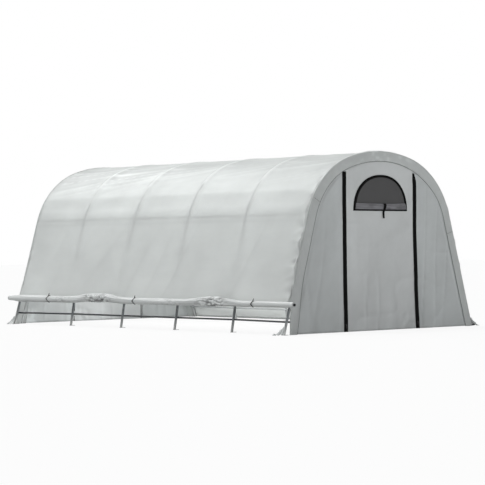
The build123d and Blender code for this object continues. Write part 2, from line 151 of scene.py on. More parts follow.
def build_section():
    up = np.array([-math.sin(LEG_LEAN), math.cos(LEG_LEAN)])
    out = np.array([math.cos(LEG_LEAN), math.sin(LEG_LEAN)])
    foot = np.array([HALF_WIDTH, 0.0])
    crown_centre = np.array([0.0, HEIGHT - CROWN_RADIUS])
    start = foot - out * SHOULDER_RADIUS - crown_centre
    along = start @ up
    leg = math.sqrt(along**2 - start @ start + (CROWN_RADIUS - SHOULDER_RADIUS) ** 2) - along
    shoulder_centre = start + crown_centre + up * leg
    spread = shoulder_centre - crown_centre
    join = math.atan2(spread[1], spread[0])
    return foot, up, out, leg, shoulder_centre, crown_centre, join


FOOT, LEG_UP, LEG_OUT, LEG_LENGTH, SHOULDER_CENTRE, CROWN_CENTRE, JOIN_ANGLE = build_section()
SHOULDER_LENGTH = SHOULDER_RADIUS * (JOIN_ANGLE - LEG_LEAN)
WELD_ALONG = LEG_LENGTH + 0.375
CROWN_HALF_LENGTH = CROWN_RADIUS * (math.pi / 2 - JOIN_ANGLE)
HALF_LENGTH = LEG_LENGTH + SHOULDER_LENGTH + CROWN_HALF_LENGTH


def from_ground(s):
    """Distance along the section from the ground line on its own side."""
    return np.where(s > HALF_LENGTH, 2 * HALF_LENGTH - s, s)


def section_at(s, out=0.0):
    """Point and outward direction of the section at a distance along it, moved out by this much."""
    t = from_ground(s)
    on_leg, on_shoulder = t <= LEG_LENGTH, t <= LEG_LENGTH + SHOULDER_LENGTH
    shoulder_angle = LEG_LEAN + (t - LEG_LENGTH) / SHOULDER_RADIUS
    crown_angle = JOIN_ANGLE + (t - LEG_LENGTH - SHOULDER_LENGTH) / CROWN_RADIUS
    angle = np.where(on_leg, LEG_LEAN, np.where(on_shoulder, shoulder_angle, crown_angle))
    normal = np.cos(angle), np.sin(angle)
    place = []
    for axis in (0, 1):
        leg = FOOT[axis] + LEG_UP[axis] * t
        shoulder = SHOULDER_CENTRE[axis] + SHOULDER_RADIUS * normal[axis]
        crown = CROWN_CENTRE[axis] + CROWN_RADIUS * normal[axis]
        line = np.where(on_leg, leg, np.where(on_shoulder, shoulder, crown))
        place.append(line + normal[axis] * out)
    side = np.where(s > HALF_LENGTH, 1.0, -1.0)
    return place[0] * side, place[1], normal[0] * side, normal[1]


def inset_half_width(z, inset):
    """Half the width of the section at this height, on the line this far inside it."""
    z = np.asarray(z, float)
    leg_x = FOOT[0] - inset / LEG_UP[1] + LEG_UP[0] / LEG_UP[1] * z
    radius = SHOULDER_RADIUS - inset
    rise = np.clip(z - SHOULDER_CENTRE[1], -radius, radius)
    shoulder_x = SHOULDER_CENTRE[0] + np.sqrt(radius**2 - rise**2)
    crown_radius = CROWN_RADIUS - inset
    crown_rise = np.clip(z - CROWN_CENTRE[1], 0, crown_radius)
    crown_x = np.sqrt(crown_radius**2 - crown_rise**2)
    spring_z = SHOULDER_CENTRE[1] + radius * math.sin(LEG_LEAN)
    join_z = SHOULDER_CENTRE[1] + radius * math.sin(JOIN_ANGLE)
    return np.where(z < spring_z, leg_x, np.where(z < join_z, shoulder_x, crown_x))


def inset_height(x, inset):
    """Height of the arch over this x, on the line this far inside the section."""
    x = np.abs(np.asarray(x, float))
    radius, crown_radius = SHOULDER_RADIUS - inset, CROWN_RADIUS - inset
    join_x = SHOULDER_CENTRE[0] + radius * math.cos(JOIN_ANGLE)
    run = np.clip(x - SHOULDER_CENTRE[0], -radius, radius)
    shoulder_z = SHOULDER_CENTRE[1] + np.sqrt(radius**2 - run**2)
    crown_z = CROWN_CENTRE[1] + np.sqrt(np.maximum(crown_radius**2 - x**2, 0))
    return np.where(x < join_x, crown_z, shoulder_z)


# Materials


class Nodes:
    """A short way to write a material's node tree."""

    def __init__(self, name):
        self.material = bpy.data.materials.new(name)
        self.material.use_nodes = True
        self.tree = self.material.node_tree
        self.shader = self.tree.nodes["Principled BSDF"]
        self.output = self.tree.nodes["Material Output"]
        self.place = self.add("ShaderNodeTexCoord").outputs["Object"]

    def add(self, kind, **inputs):
        node = self.tree.nodes.new(kind)
        for key, value in inputs.items():
            self.feed(node, key.replace("_", " "), value)
        return node

    def feed(self, node, key, value):
        if isinstance(value, bpy.types.NodeSocket):
            self.tree.links.new(value, node.inputs[key])
        else:
            node.inputs[key].default_value = value

    def noise(self, scale, detail=3.0, roughness=0.55, place=None):
        sizes = {"Scale": scale, "Detail": detail, "Roughness": roughness}
        return self.add("ShaderNodeTexNoise", Vector=place or self.place, **sizes).outputs["Fac"]

    def stretched(self, scale):
        return self.add("ShaderNodeMapping", Vector=self.place, Scale=scale).outputs["Vector"]

    def waves(self, direction, period):
        node = self.add("ShaderNodeTexWave", Vector=self.place, Scale=math.pi / 10 / period)
        node.bands_direction = direction
        return node.outputs["Fac"]

    def math(self, operation, a, b=0.5):
        node = self.add("ShaderNodeMath")
        node.operation = operation
        self.feed(node, 0, a)
        self.feed(node, 1, b)
        return node.outputs["Value"]

    def ranged(self, value, low, high, to_low, to_high):
        ends = {"From_Min": low, "From_Max": high, "To_Min": to_low, "To_Max": to_high}
        return self.add("ShaderNodeMapRange", Value=value, **ends).outputs["Result"]

    def mixed(self, factor, dark, light):
        node = self.add("ShaderNodeMix")
        node.data_type = "RGBA"
        for key, value in ((0, factor), (6, dark), (7, light)):
            self.feed(node, key, (*value, 1.0) if isinstance(value, tuple) else value)
        return node.outputs[2]

    def bump(self, height, strength, distance, normal=None):
        node = self.add("ShaderNodeBump", Height=height, Strength=strength, Distance=distance)
        if normal:
            self.feed(node, "Normal", normal)
        return node.outputs["Normal"]

    def height(self, cloud, wander):
        """Height above the ground, made uneven by a cloud."""
        apart = self.add("ShaderNodeSeparateXYZ", Vector=self.place)
        return self.math("ADD", apart.outputs["Z"], self.math("MULTIPLY", cloud, wander))

    def finish(self, color, roughness, normal, **inputs):
        inputs = {"Base Color": color, "Roughness": roughness, "Normal": normal} | inputs
        for key, value in inputs.items():
            self.feed(self.shader, key.replace("_", " "), value)
        return self.material


def linear(value):
    value /= 255
    return value / 12.92 if value <= 0.04045 else ((value + 0.055) / 1.055) ** 2.4


def rgb(red, green, blue):
    return tuple(linear(v) for v in (red, green, blue))


def scaled(color, factor):
    return tuple(v * factor for v in color)


def woven_sheet(name, color, glow=0.3, yarn=0.004, cell=0.012, grain=1.0, dust=0.0, cloudiness=1.7):
    """Coated woven film: flat tapes crossing, a coarser reinforcing grid, a soft cloudiness, painted
    shade in the folds and painted highlight on the ridges, and a darkening towards the ground."""
    n = Nodes(name)
    warp = n.math("ADD", n.waves("Z", yarn), n.waves("X", yarn))
    weave = n.math("MULTIPLY", warp, n.waves("Y", yarn))
    grid = n.math("MAXIMUM", n.waves("Y", cell), n.waves("Z", cell))
    grid = n.ranged(grid, 0.93, 1.0, 0.0, 1.0)
    cloud = n.noise(cloudiness, 4.0)
    streak = n.noise(9.0, 3.0, place=n.stretched((1.0, 0.25, 1.0)))
    tone = n.math("ADD", n.math("MULTIPLY", cloud, 0.65), n.math("MULTIPLY", streak, 0.35))
    tone = n.ranged(tone, 0.3, 0.7, 0.0, 1.0)
    body = n.mixed(tone, scaled(color, 1 - 0.055 * grain), scaled(color, 1 + 0.03 * grain))
    # The fold attribute is painted shade where positive, towards a darker copy of the colour, and
    # painted highlight where negative, towards a lighter copy
    fold = n.add("ShaderNodeAttribute")
    fold.attribute_name = "fold"
    depth = n.ranged(fold.outputs["Fac"], 0.0, 1.0, 0.0, 1.0)
    ridge = n.ranged(fold.outputs["Fac"], 0.0, -1.0, 0.0, 1.0)
    body = n.mixed(depth, body, scaled(color, 0.22))
    body = n.mixed(ridge, body, scaled(color, 1.5))
    if dust:
        # Darker towards the ground, by the height above it
        darker_low = n.ranged(n.height(cloud, 0.5), 0.2, 2.5, dust, 0.0)
        body = n.mixed(darker_low, body, scaled(color, 0.55))
    fine = n.mixed(n.math("MULTIPLY", grid, 0.10), body, scaled(color, 0.8))
    rough = n.ranged(n.noise(30.0, 2.0), 0.3, 0.7, 0.34, 0.44)
    height = n.math("ADD", weave, n.math("MULTIPLY", grid, 1.2))
    normal = n.bump(height, 0.25, 0.0006, n.bump(n.noise(55.0, 3.0), 0.2, 0.002))
    n.finish(fine, rough, normal, Sheen_Weight=0.08, Specular_IOR_Level=0.5)
    through = n.add("ShaderNodeBsdfTranslucent", Color=fine)
    both = n.add("ShaderNodeMixShader")
    for key, value in enumerate((glow, n.shader.outputs[0], through.outputs[0])):
        n.feed(both, key, value)
    n.feed(n.output, "Surface", both.outputs[0])
    return n.material


def webbing(name, color, period=0.003):
    """Close black tape: a rib along its length, and a dusty unevenness."""
    n = Nodes(name)
    ribs = n.math("MULTIPLY", n.waves("X", period), n.waves("Z", period))
    dust = n.noise(24.0, 4.0)
    tone = n.mixed(n.ranged(dust, 0.35, 0.75, 0, 1), color, tuple(v + 0.002 for v in color))
    rough = n.ranged(dust, 0.3, 0.7, 0.62, 0.8)
    return n.finish(tone, rough, n.bump(ribs, 0.5, 0.0008), Specular_IOR_Level=0.06)


def insect_mesh(name, color):
    """Dark mesh cloth: threads both ways, paler than the dark between them."""
    n = Nodes(name)
    threads = n.math("MAXIMUM", n.waves("X", 0.0024), n.waves("Z", 0.0024))
    threads = n.ranged(threads, 0.55, 0.95, 0.0, 1.0)
    cloud = n.noise(5.0, 3.0)
    dark = n.mixed(cloud, scaled(color, 0.55), scaled(color, 0.75))
    light = n.mixed(cloud, scaled(color, 1.25), scaled(color, 1.6))
    tone = n.mixed(threads, dark, light)
    return n.finish(tone, 0.6, n.bump(threads, 0.5, 0.0006), Sheen_Weight=0.2)


def painted_tube(name, color, wear, lighter_low=0.0):
    """Powder-coated steel: a faint orange peel, rubbed lighter along its length, a little dust,
    and lighter towards the ground."""
    n = Nodes(name)
    peel = n.noise(420.0, 2.0)
    scuff = n.noise(26.0, 5.0, 0.65, n.stretched((1.0, 0.35, 0.35)))
    scuff = n.ranged(scuff, 0.52, 0.72, 0.0, 1.0)
    cloud = n.noise(6.0, 3.0)
    body = n.mixed(cloud, scaled(color, 0.85), scaled(color, 1.15))
    tone = n.mixed(n.math("MULTIPLY", scuff, wear), body, (0.45, 0.46, 0.47))
    if lighter_low:
        # Lighter towards the ground, by the height above it
        low = n.ranged(n.height(cloud, 0.06), 0.04, 0.20, lighter_low, 0.0)
        tone = n.mixed(low, tone, (0.62, 0.62, 0.60))
    rough = n.ranged(n.math("ADD", cloud, scuff), 0.3, 1.5, 0.34, 0.6)
    return n.finish(tone, rough, n.bump(peel, 0.12, 0.0006), Metallic=0.25)


COVER = woven_sheet("cover_woven_film", rgb(237, 239, 238), glow=0.58, dust=0.34)
# A darker copy of the cover's film: painted shade for the rolled and gathered cloth
SHADED_FOLD_FILM = woven_sheet("folded_cover_film", rgb(204, 207, 206), glow=0.06, grain=1.6)
# Darker copies of the cover's film for the ends: part of the shade that falls on the ends is painted
# into their colour
SHADED_DOOR_FILM = woven_sheet("door_woven_film", rgb(211, 213, 213), glow=0.42, dust=0.34)
SHADED_PANEL_FILM = woven_sheet("panel_woven_film", rgb(203, 206, 206), glow=0.42, dust=0.30)
SHADED_BAND_FILM = woven_sheet("band_woven_film", rgb(199, 202, 201), glow=0.35, dust=0.30)
FLAP_SHEET = woven_sheet("flap_film", rgb(94, 94, 98), glow=0.06, grain=4.5, cloudiness=9.0)
SEAM_THREAD = webbing("seam_thread", rgb(112, 116, 115))
ZIP_TAPE = webbing("zip_tape", (0.0008, 0.0008, 0.0008))
ZIP_TEETH = webbing("zip_teeth", (0.002, 0.002, 0.002), 0.002)
BINDING = webbing("binding", (0.0012, 0.0012, 0.0012))
MESH = insect_mesh("window_mesh", rgb(38, 38, 39))
TIE = webbing("tie_cord", (0.03, 0.03, 0.03), 0.002)
FRAME_PAINT = painted_tube("frame_paint", rgb(100, 104, 106), 0.5, 0.55)
# A paler copy of the frame paint: painted light for tubes inside the house, which also softens the
# shade lines they throw on the cover
LIT_COPY_PAINT = painted_tube("lit_copy_paint", rgb(158, 161, 162), 0.4, 0.3)
RAIL_PAINT = painted_tube("rail_paint", rgb(56, 59, 61), 0.2)
FOOT_PAINT = painted_tube("foot_paint", rgb(96, 99, 101), 0.7)
ROLL_PAINT = painted_tube("roll_tube_paint", rgb(54, 56, 58), 0.3)
PULL_PAINT = painted_tube("zip_pull_paint", rgb(24, 24, 25), 0.05)


# Mesh making


def make_piece(name, points, faces, material, replaces=(), fold=None):
    """One piece; fold is the painted shade at each point, painted highlight where negative, which its
    material puts into its colour.
    """
    mesh = bpy.data.meshes.new(name)
    mesh.from_pydata([tuple(map(float, p)) for p in points], [], [tuple(f) for f in faces])
    mesh.validate()
    mesh.shade_smooth()
    if fold is not None:
        layer = mesh.attributes.new("fold", "FLOAT", "POINT")
        layer.data.foreach_set("value", np.asarray(fold, np.float32).ravel())
    mesh.materials.append(material)
    piece = bpy.data.objects.new(name, mesh)
    bpy.context.scene.collection.objects.link(piece)
    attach(piece, "root")
    if replaces:
        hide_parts(*replaces)
    return piece


def grid_faces(rows, columns, start=0, around=False, flip=False):
    """Quads of a grid whose points are listed row by row, closed around its columns if asked."""
    faces = []
    for r in range(rows - 1):
        for c in range(columns if around else columns - 1):
            a = start + r * columns + c
            b = start + r * columns + (c + 1) % columns
            quad = (a, b, b + columns, a + columns)
            faces.append(quad[::-1] if flip else quad)
    return faces


def tube_faces(rows, sides, flip=False):
    """Faces of a tube made of rings, with its two ends closed last."""
    ends = [tuple(range(sides))[::-1], tuple(range((rows - 1) * sides, rows * sides))]
    faces = grid_faces(rows, sides, around=True, flip=flip)
    return faces + [end[::-1] if flip else end for end in ends]


def make_sheet(name, points, faces, material, slot, replaces, fold, flat, held, rests_on, **how):
    """A sheet of cloth, welded if asked and thickened unless asked not to; its area before it is
    thickened is given but not used.
    """
    piece = make_piece(name, points, faces, material, replaces, fold)
    if how.get("welded"):
        piece.modifiers.new("join", "WELD").merge_threshold = 0.0004
    if how.get("thick", True):
        made = piece.modifiers.new("thickness", "SOLIDIFY")
        made.thickness = CLOTH_THICKNESS
        made.offset = how.get("offset", 0.0)
        made.use_even_offset = False
    return piece


def tube_along(points, radius, sides=8):
    """Points and faces of a round tube with closed ends along a list of points."""
    points = [Vector(p) for p in points]
    made = []
    side = None
    for i, point in enumerate(points):
        ahead = points[min(i + 1, len(points) - 1)] - points[max(i - 1, 0)]
        ahead.normalize()
        if side is None:
            side = ahead.orthogonal().normalized()
        side = (side - ahead * side.dot(ahead)).normalized()
        other = ahead.cross(side)
        for k in range(sides):
            turn = 2 * math.pi * k / sides
            made.append(point + (side * math.cos(turn) + other * math.sin(turn)) * radius)
    return made, tube_faces(len(points), sides)


class Shapes:
    """Collects several closed shapes into one piece."""

    def __init__(self):
        self.points, self.faces = [], []

    def add(self, points, faces):
        start = len(self.points)
        self.points += [tuple(p) for p in points]
        self.faces += [tuple(i + start for i in face) for face in faces]

    def piece(self, name, material, slot, replaces=()):
        return make_piece(name, self.points, self.faces, material, replaces)


# Rolled-up side


def roll_radius(y):
    """Radius of the roll's folds along the house: slimmer to the front, drawn in at each tie."""
    y = np.asarray(y, float)
    waist = ROLL_WAIST_RADIUS + ROLL_TAPER * y
    radius = waist
    for place in BULGE_PLACES:
        reach = np.clip(np.abs(y - place) / BULGE_HALF_LENGTH, 0, 1)
        radius = radius + (ROLL_BULGE_RADIUS - waist) * (0.5 + 0.5 * np.cos(math.pi * reach))
    for place in TIE_PLACES:
        radius = radius - 0.003 * near_to(y, place, 0.03)
    ends = smooth(ROLL_CLOTH_END, ROLL_CLOTH_END - 0.35, np.abs(y))
    return ROLL_END_RADIUS + (radius - ROLL_END_RADIUS) * ends


def roll_lift(y):
    """How far the folds are heaped up over the tube, which leaves the underside straight."""
    lift = np.zeros(np.shape(y))
    for place, height in zip(BULGE_PLACES, BULGE_LIFTS):
        lift = lift + height * np.exp(-(((y - place) / 0.46) ** 4))
    return lift


def roll_crumple(turn, y):
    """Height of the roll's folds and painted shade in its creases, with painted highlight on its
    ridges:
    long soft folds everywhere, and a crush of small ones at each bulge."""
    crush = sum(np.exp(-(((y - place) / 0.30) ** 4)) for place in BULGE_PLACES)
    crush = crush + 0.40 * near_to(y, 1.80, 0.20) + 0.35 * near_to(y, -0.73, 0.20)
    loose = sum(near_to(y, place, 0.60) for place in BULGE_PLACES) + 0.3
    across, upright = np.cos(turn) + 3, np.sin(turn) + 3
    swirl = 0.5 * lattice_noise(y * 7, upright * 1.2, 16)
    long_folds = 0.0030 * lattice_noise(y * 1.3 + across * 0.8, upright * 2.4, 11)
    small = creases(y * 9 + across * 0.9 + swirl, upright * 1.5 + swirl, 12, 2.4)
    tiny = creases(y * 21 - swirl, upright * 2.2 + across + y * 6, 14, 2.0)
    medium = lattice_noise(y * 6 - across * 2.4, upright * 2.6, 13)
    deep = crush * (small + 0.7 * tiny)
    along = creases(upright * 3.5 + y * 0.35, across * 2.2 + y * 0.5, 15, 2.6)
    height = long_folds + loose * (0.0045 * medium - 0.0050 * along)
    height = height + crush * (0.0050 + 0.0060 * medium) - 0.0140 * deep
    # The second value is painted shade in the creases and painted highlight on the ridges between them
    ridge = crush * np.clip(1 - 2.2 * (small + tiny), 0, 1)
    return height, 0.75 * deep - 0.35 * ridge + 0.10 * loose * along


LEG_NORMAL_NEAR = np.array([-LEG_OUT[0], LEG_OUT[1]])
LEG_UP_NEAR = np.array([-LEG_UP[0], LEG_UP[1]])
FOOT_NEAR = np.array([-HALF_WIDTH, 0.0])
ROLL_OUTSET = float((np.array([ROLL_X, ROLL_Z]) - FOOT_NEAR) @ LEG_NORMAL_NEAR)
ROLL_ALONG = float((np.array([ROLL_X, ROLL_Z]) - FOOT_NEAR) @ LEG_UP_NEAR)


def close_end(points, faces, ring, turns, end, centre, tube, depths):
    """Closes an end of a roll with rings of points down to its tube, each place set in by its depth."""
    sides = len(turns)
    outline = [points[ring * sides + k] for k in range(sides)]
    previous = ring * sides
    for step, row in enumerate(depths, 1):
        current = len(points)
        for (px, py, pz), angle, depth in zip(outline, turns, row):
            full = math.hypot(px - centre[0], pz - centre[1])
            here = full + (tube - full) * step / len(depths)
            x, z = centre[0] + here * math.cos(angle), centre[1] + here * math.sin(angle)
            points.append((x, py - end * depth, z))
        for k in range(sides):
            m = (k + 1) % sides
            quad = (previous + k, previous + m, current + m, current + k)
            faces.append(quad if end < 0 else quad[::-1])
        previous = current


def build_roll():
    """The rolled-up cover: folds heaped on its tube, with the wound layers seen at both ends."""
    step = 0.010
    along = np.arange(-ROLL_CLOTH_END, ROLL_CLOTH_END + 1e-6, step)
    if along[-1] < ROLL_CLOTH_END - 1e-4:
        along = np.append(along, ROLL_CLOTH_END)
    sides, tube, layers = (56), 0.0180, 9
    turns = np.arange(sides) * 2 * math.pi / sides
    y, turn = np.meshgrid(along, turns, indexing="ij")
    crumple, depth = roll_crumple(turn, y)
    radius = roll_radius(y) + crumple * smooth(ROLL_CLOTH_END, ROLL_CLOTH_END - 0.1, np.abs(y))
    # Painted shade on the roll's underside
    under = smooth(-0.35, -0.95, np.sin(turn + 0.35))
    fold = list((depth + 0.38 * under).ravel())
    x = ROLL_X + radius * np.cos(turn)
    z = ROLL_Z + roll_lift(y) + radius * np.sin(turn)
    points = [tuple(p) for p in np.stack([x, y, z], -1).reshape(-1, 3)]
    faces = grid_faces(len(along), sides, around=True, flip=True)
    spiral = (np.arange(1, layers + 1)[:, None] * 0.9 + np.arange(sides) / sides) % 1.0
    depths = 0.001 + 0.005 * np.abs(spiral - 0.5) * 2
    for end, ring in ((-1, 0), (1, len(along) - 1)):
        close_end(points, faces, ring, turns, end, (ROLL_X, ROLL_Z), tube, depths)
    # Painted shade over the wound layers at both ends
    fold += [0.4] * (len(points) - len(fold))
    make_piece("near_roll", points, faces, SHADED_FOLD_FILM, ("near_roll_cloth",), fold)


def build_ties():
    """Cord round the roll at each tie, with its knot's end standing up on top."""
    shapes = Shapes()
    for place in TIE_PLACES:
        points = []
        steps = 48
        radius = float(roll_radius(place)) + 0.0055
        for k in range(steps + 1):
            turn = 2 * math.pi * k / steps
            away = 1 + math.cos(turn) if math.cos(turn) < 0 else 1.0
            y = place - radius * 1.25 * (abs(math.sin(turn)) - 0.74 * away) * (away < 1)
            points.append((ROLL_X + radius * math.cos(turn), y, ROLL_Z + radius * math.sin(turn)))
        made, faces = tube_along(points, 0.0056, 8)
        shapes.add(made, faces[:-2])
        top = Vector(points[int(steps * 0.34)])
        tail = [top + Vector((-0.001 * i, -0.0045 * i, 0.0070 * i)) for i in range(6)]
        shapes.add(*tube_along(tail, 0.0052, 8))
    shapes.piece("near_ties", TIE, "tie_cord", ("near_roll_ties",))


# Cover


def wall_folds(t, y):
    """Place across the wall's long slack folds, which run down and a little backwards, and their
    strength."""
    strength = smooth(0.1, 0.5, t) * smooth(LEG_LENGTH + 0.2, LEG_LENGTH - 0.5, t)
    return y + (t - 1.0) * 0.42, strength


def cover_offset(s, y):
    """How far the cover stands out from its section: sags between ribs, folds and puckers."""
    t = from_ground(s)
    bay = np.clip((np.asarray(y) - RIB_PLACES[0]) / BAY_LENGTH, 0, BAYS)
    across = np.where(bay >= BAYS, 0, bay - np.floor(bay))
    from_rib = np.minimum(across, 1 - across) * BAY_LENGTH
    sag_shape = (4 * across * (1 - across)) ** 0.8
    up_the_arch = smooth(LEG_LENGTH - 0.15, LEG_LENGTH + 0.30, t)
    over_wall = smooth(LEG_LENGTH + 0.2, LEG_LENGTH - 0.5, t)
    by_ridge = near_to(t, HALF_LENGTH, 0.10)
    # Drawn straight between the tube at the spring, the weld above it and the crown
    first = np.clip((t - LEG_LENGTH) / (WELD_ALONG - LEG_LENGTH), 0, 1)
    second = np.clip((t - WELD_ALONG) / (HALF_LENGTH - WELD_ALONG), 0, 1)
    chord = 0.017 * 4 * first * (1 - first) * smooth(0.0, 0.6, first)
    chord = chord + 0.022 * (4 * second * (1 - second)) ** 0.8
    beside = 1 - near_to(from_rib, 0, 0.055)
    sag = (0.0035 + chord * 0.60) * sag_shape + (0.0050 + chord * 0.45) * beside
    sag = sag * (1 - 0.55 * over_wall)
    offset = 0.0012 - sag * (0.25 + 0.75 * up_the_arch) * (1 - 0.35 * by_ridge)
    # Where the cover goes over the shoulder tube
    offset += 0.001 * near_to(t, LEG_LENGTH, 0.06) * sag_shape
    slant, drawn = wall_folds(t, y)
    offset += 0.0060 * drawn * lattice_noise(slant * 2.0, t * 0.5, 21)
    offset += 0.0040 * drawn * creases(slant * 2.2 + 3, t * 0.45, 22, 2.0)
    # Fine folds over the shoulder, strongest towards the rear
    rearward = 0.25 + 0.75 * smooth(0.4, 2.2, y)
    fine = near_to(t, LEG_LENGTH + SHOULDER_LENGTH * 0.7, 0.40)
    run = t * 8 + y * 1.5
    slack = 1 - near_to(from_rib, 0, 0.10)
    offset += 0.0075 * slack * rearward * fine * lattice_noise(run, y * 1.2, 23)
    offset -= 0.0095 * slack * rearward * fine * creases(run * 0.75, y * 0.8 + 5, 24, 2.2)
    # Puckers where the end covers draw it in
    for end in (FRONT, REAR):
        from_end = END_FACE - end * y
        edge = near_to(from_end, 0, 0.17)
        low_down = smooth(0.2, 0.6, t) * smooth(LEG_LENGTH + 0.55, LEG_LENGTH - 0.2, t)
        high_up = smooth(LEG_LENGTH + 0.3, LEG_LENGTH + 0.9, t)
        pucker = lattice_noise(t * 11, from_end * 3 + 7, 25 + end)
        ridge = creases(t * 8 + from_end * 2, from_end * 4 + 3, 28 + end, 1.6)
        depth = 0.0170 if end == FRONT else 0.0060
        offset += edge * (depth * low_down + 0.0035 * high_up) * (pucker + ridge - 0.3)
    # A general unevenness
    offset += 0.0016 * layered_noise(t * 3.1, y * 3.1, 31)
    touching = near_to(from_rib, 0, 0.03) * smooth(LEG_LENGTH - 0.1, LEG_LENGTH + 0.1, t)
    return offset * (1 - touching) + np.maximum(offset, -0.0005) * touching


def cover_painted_light(s, y):
    """Painted shade and highlight on the cover: creases in the roof, bright ridges over the ribs,
    puckers, the wall's folds.
    """
    t = from_ground(s)
    roof = smooth(LEG_LENGTH + 0.50, LEG_LENGTH + 0.62, t)
    from_rib = np.full(np.shape(y), 9.0)
    for place in RIB_PLACES[1:-1]:
        from_rib = np.where(np.abs(y - place) < np.abs(from_rib), y - place, from_rib)
    ridge = near_to(from_rib, 0.0, 0.022) * roof * smooth(HALF_LENGTH, HALF_LENGTH - 0.55, t)
    beside = near_to(from_rib, 0.050, 0.024) * roof
    rearward = 0.35 + 0.65 * smooth(-0.5, 2.0, y)
    fine = near_to(t, LEG_LENGTH + 0.95, 0.36)
    run = t * 8 + y * 1.5
    crease = creases(run * 0.9, y * 0.9 + 5, 24, 2.6) * fine * rearward
    streak = creases(run * 1.3 + 4, y * 0.7, 33, 2.4) * fine * rearward
    # Painted shade beside the ribs and in the creases, painted highlight over the ribs and along the
    # streaks
    fold = 0.13 * beside - 0.45 * ridge + 0.16 * crease - 0.40 * streak
    # Painted shade and highlight on the puckers by the front end
    from_front = END_FACE + y
    edge = near_to(from_front, 0, 0.13) * smooth(0.3, 0.7, t) * smooth(2.6, 2.0, s)
    pucker = lattice_noise(t * 13, from_front * 4, 34)
    fold += edge * 0.45 * pucker
    # The wall's soft upright folds, in painted shade and highlight
    slant, drawn = wall_folds(t, y)
    fold += 0.030 * drawn * lattice_noise(slant * 2.6, t * 0.5, 35)
    fold += 0.05 * drawn * (creases(slant * 2.2 + 3, t * 0.45, 22, 3.0) - 0.3)
    # A darker belt of painted shade along the ridge and a lighter one of painted highlight over both
    # shoulders. A darker belt along the ridge and a lighter one over both shoulders, for the photo's
    # tones
    fold += 0.18 * near_to(t, HALF_LENGTH - 0.15, 0.78)
    fold -= 0.10 * near_to(t, LEG_LENGTH + 0.32, 0.26)
    # A soft line of painted shade where the cover leaves the shoulder tube
    fold += 0.05 * near_to(t, LEG_LENGTH - 0.07, 0.030) * (s < HALF_LENGTH)
    return fold


def build_cover():
    """The cover: one sheet from under the roll, up the near side and over to the far ground."""
    end = END_FACE - 0.018
    y = np.linspace(-end, end, int(2 * end / COVER_GRID) + 1)
    top = 2 * HALF_LENGTH
    s = np.linspace(ROLL_ALONG, top - 0.012, int((top - ROLL_ALONG) / COVER_GRID) + 1)
    radius = roll_radius(y) + 0.0022
    rows = []
    # Under the roll, from below it to the side that faces the wall
    for angle in np.radians(np.linspace(100, 12, 7)):
        direction = -LEG_NORMAL_NEAR * math.cos(angle) - LEG_UP_NEAR * math.sin(angle)
        x = ROLL_X + direction[0] * radius
        z = ROLL_Z + roll_lift(y) + direction[1] * radius
        rows.append(np.stack([x, y, z], -1))
    grid_s, grid_y = np.meshgrid(s, y, indexing="ij")
    to_roll = smooth(ROLL_ALONG + 0.38, ROLL_ALONG, grid_s)
    pulled = (ROLL_OUTSET - radius)[None, :] * to_roll
    offset = cover_offset(grid_s, grid_y) * (1 - to_roll) + pulled - 0.001
    x, z, nx, nz = section_at(grid_s)
    wall = np.stack([x + nx * offset, grid_y, z + nz * offset], -1)
    points = np.concatenate([np.array(rows), wall]).reshape(-1, 3)
    faces = grid_faces(len(rows) + len(s), len(y), flip=True)
    parts = ("near_wall", "near_shoulder", "crown", "far_shoulder", "far_wall")
    replaces = [f"cover_{part}" for part in parts]
    fold = np.concatenate([np.zeros((len(rows), len(y))), cover_painted_light(grid_s, grid_y)])
    flat, rests_on = (top, 2 * END_FACE), ["rib_crowns", "near_rib_bends"]
    looks = (COVER, "cover_sheet", replaces, fold)
    make_sheet("cover_skin", points, faces, *looks, flat, "stretched", rests_on, offset=-1.0)


def build_far_hem():
    """The hem roll on the ground along the far side, with its tube's open ends."""
    low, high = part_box("far_hem_cloth")
    centre = ((low.x + high.x) / 2, (low.z + high.z) / 2)
    full, tube, sides = (high.x - low.x) / 2, 0.0130, 24
    along = np.arange(low.y, high.y + 1e-6, 0.024)
    turns = np.arange(sides) * 2 * math.pi / sides
    y, turn = np.meshgrid(along, turns, indexing="ij")
    radius = full - 0.0015 + 0.0016 * lattice_noise(y * 5, turn / 2 / math.pi * 5, 41)
    x = centre[0] + radius * np.cos(turn)
    z = np.maximum(centre[1] + radius * np.sin(turn), 0.0006)
    points = [tuple(p) for p in np.stack([x, y, z], -1).reshape(-1, 3)]
    faces = grid_faces(len(along), sides, around=True, flip=True)
    for end, ring in ((-1, 0), (1, len(along) - 1)):
        close_end(points, faces, ring, turns, end, centre, tube, [[0.004] * sides])
    make_piece("far_hem", points, faces, COVER, ("far_hem_cloth",))


# Ends


def end_wave(x, z, seed):
    """How far an end sheet stands out: soft upright waves, more towards the ground, and creases."""
    low = 0.35 + 0.65 * smooth(1.7, 0.2, z)
    wave = 0.0110 * low * lattice_noise(x * 3.4 + z * 0.25, z * 0.45, seed)
    wave += 0.0050 * lattice_noise(x * 1.6, z * 1.3 + 3, seed + 1)
    wave += 0.0050 * low * creases(x * 1.2 + z * 0.4, z * 2.4, seed + 2, 2.6)
    wave -= 0.0045 * low * creases(x * 4.5 - z * 0.3, z * 0.8, seed + 4, 2.2)
    wave += 0.0018 * layered_noise(x * 5, z * 5, seed + 3)
    crumpled = near_to(x, 0.50, 0.14) * near_to(z, 0.10, 0.12)
    wave += 0.0100 * crumpled * lattice_noise(x * 13, z * 15, seed + 5)
    from_seam = inset_half_width(z, BAND_WIDTH) - np.abs(x)
    from_window = np.hypot(x - WINDOW_X, z - WINDOW_SILL - 0.2)
    return wave * smooth(0.0, 0.06, from_seam) * smooth(0.45, 0.72, from_window)


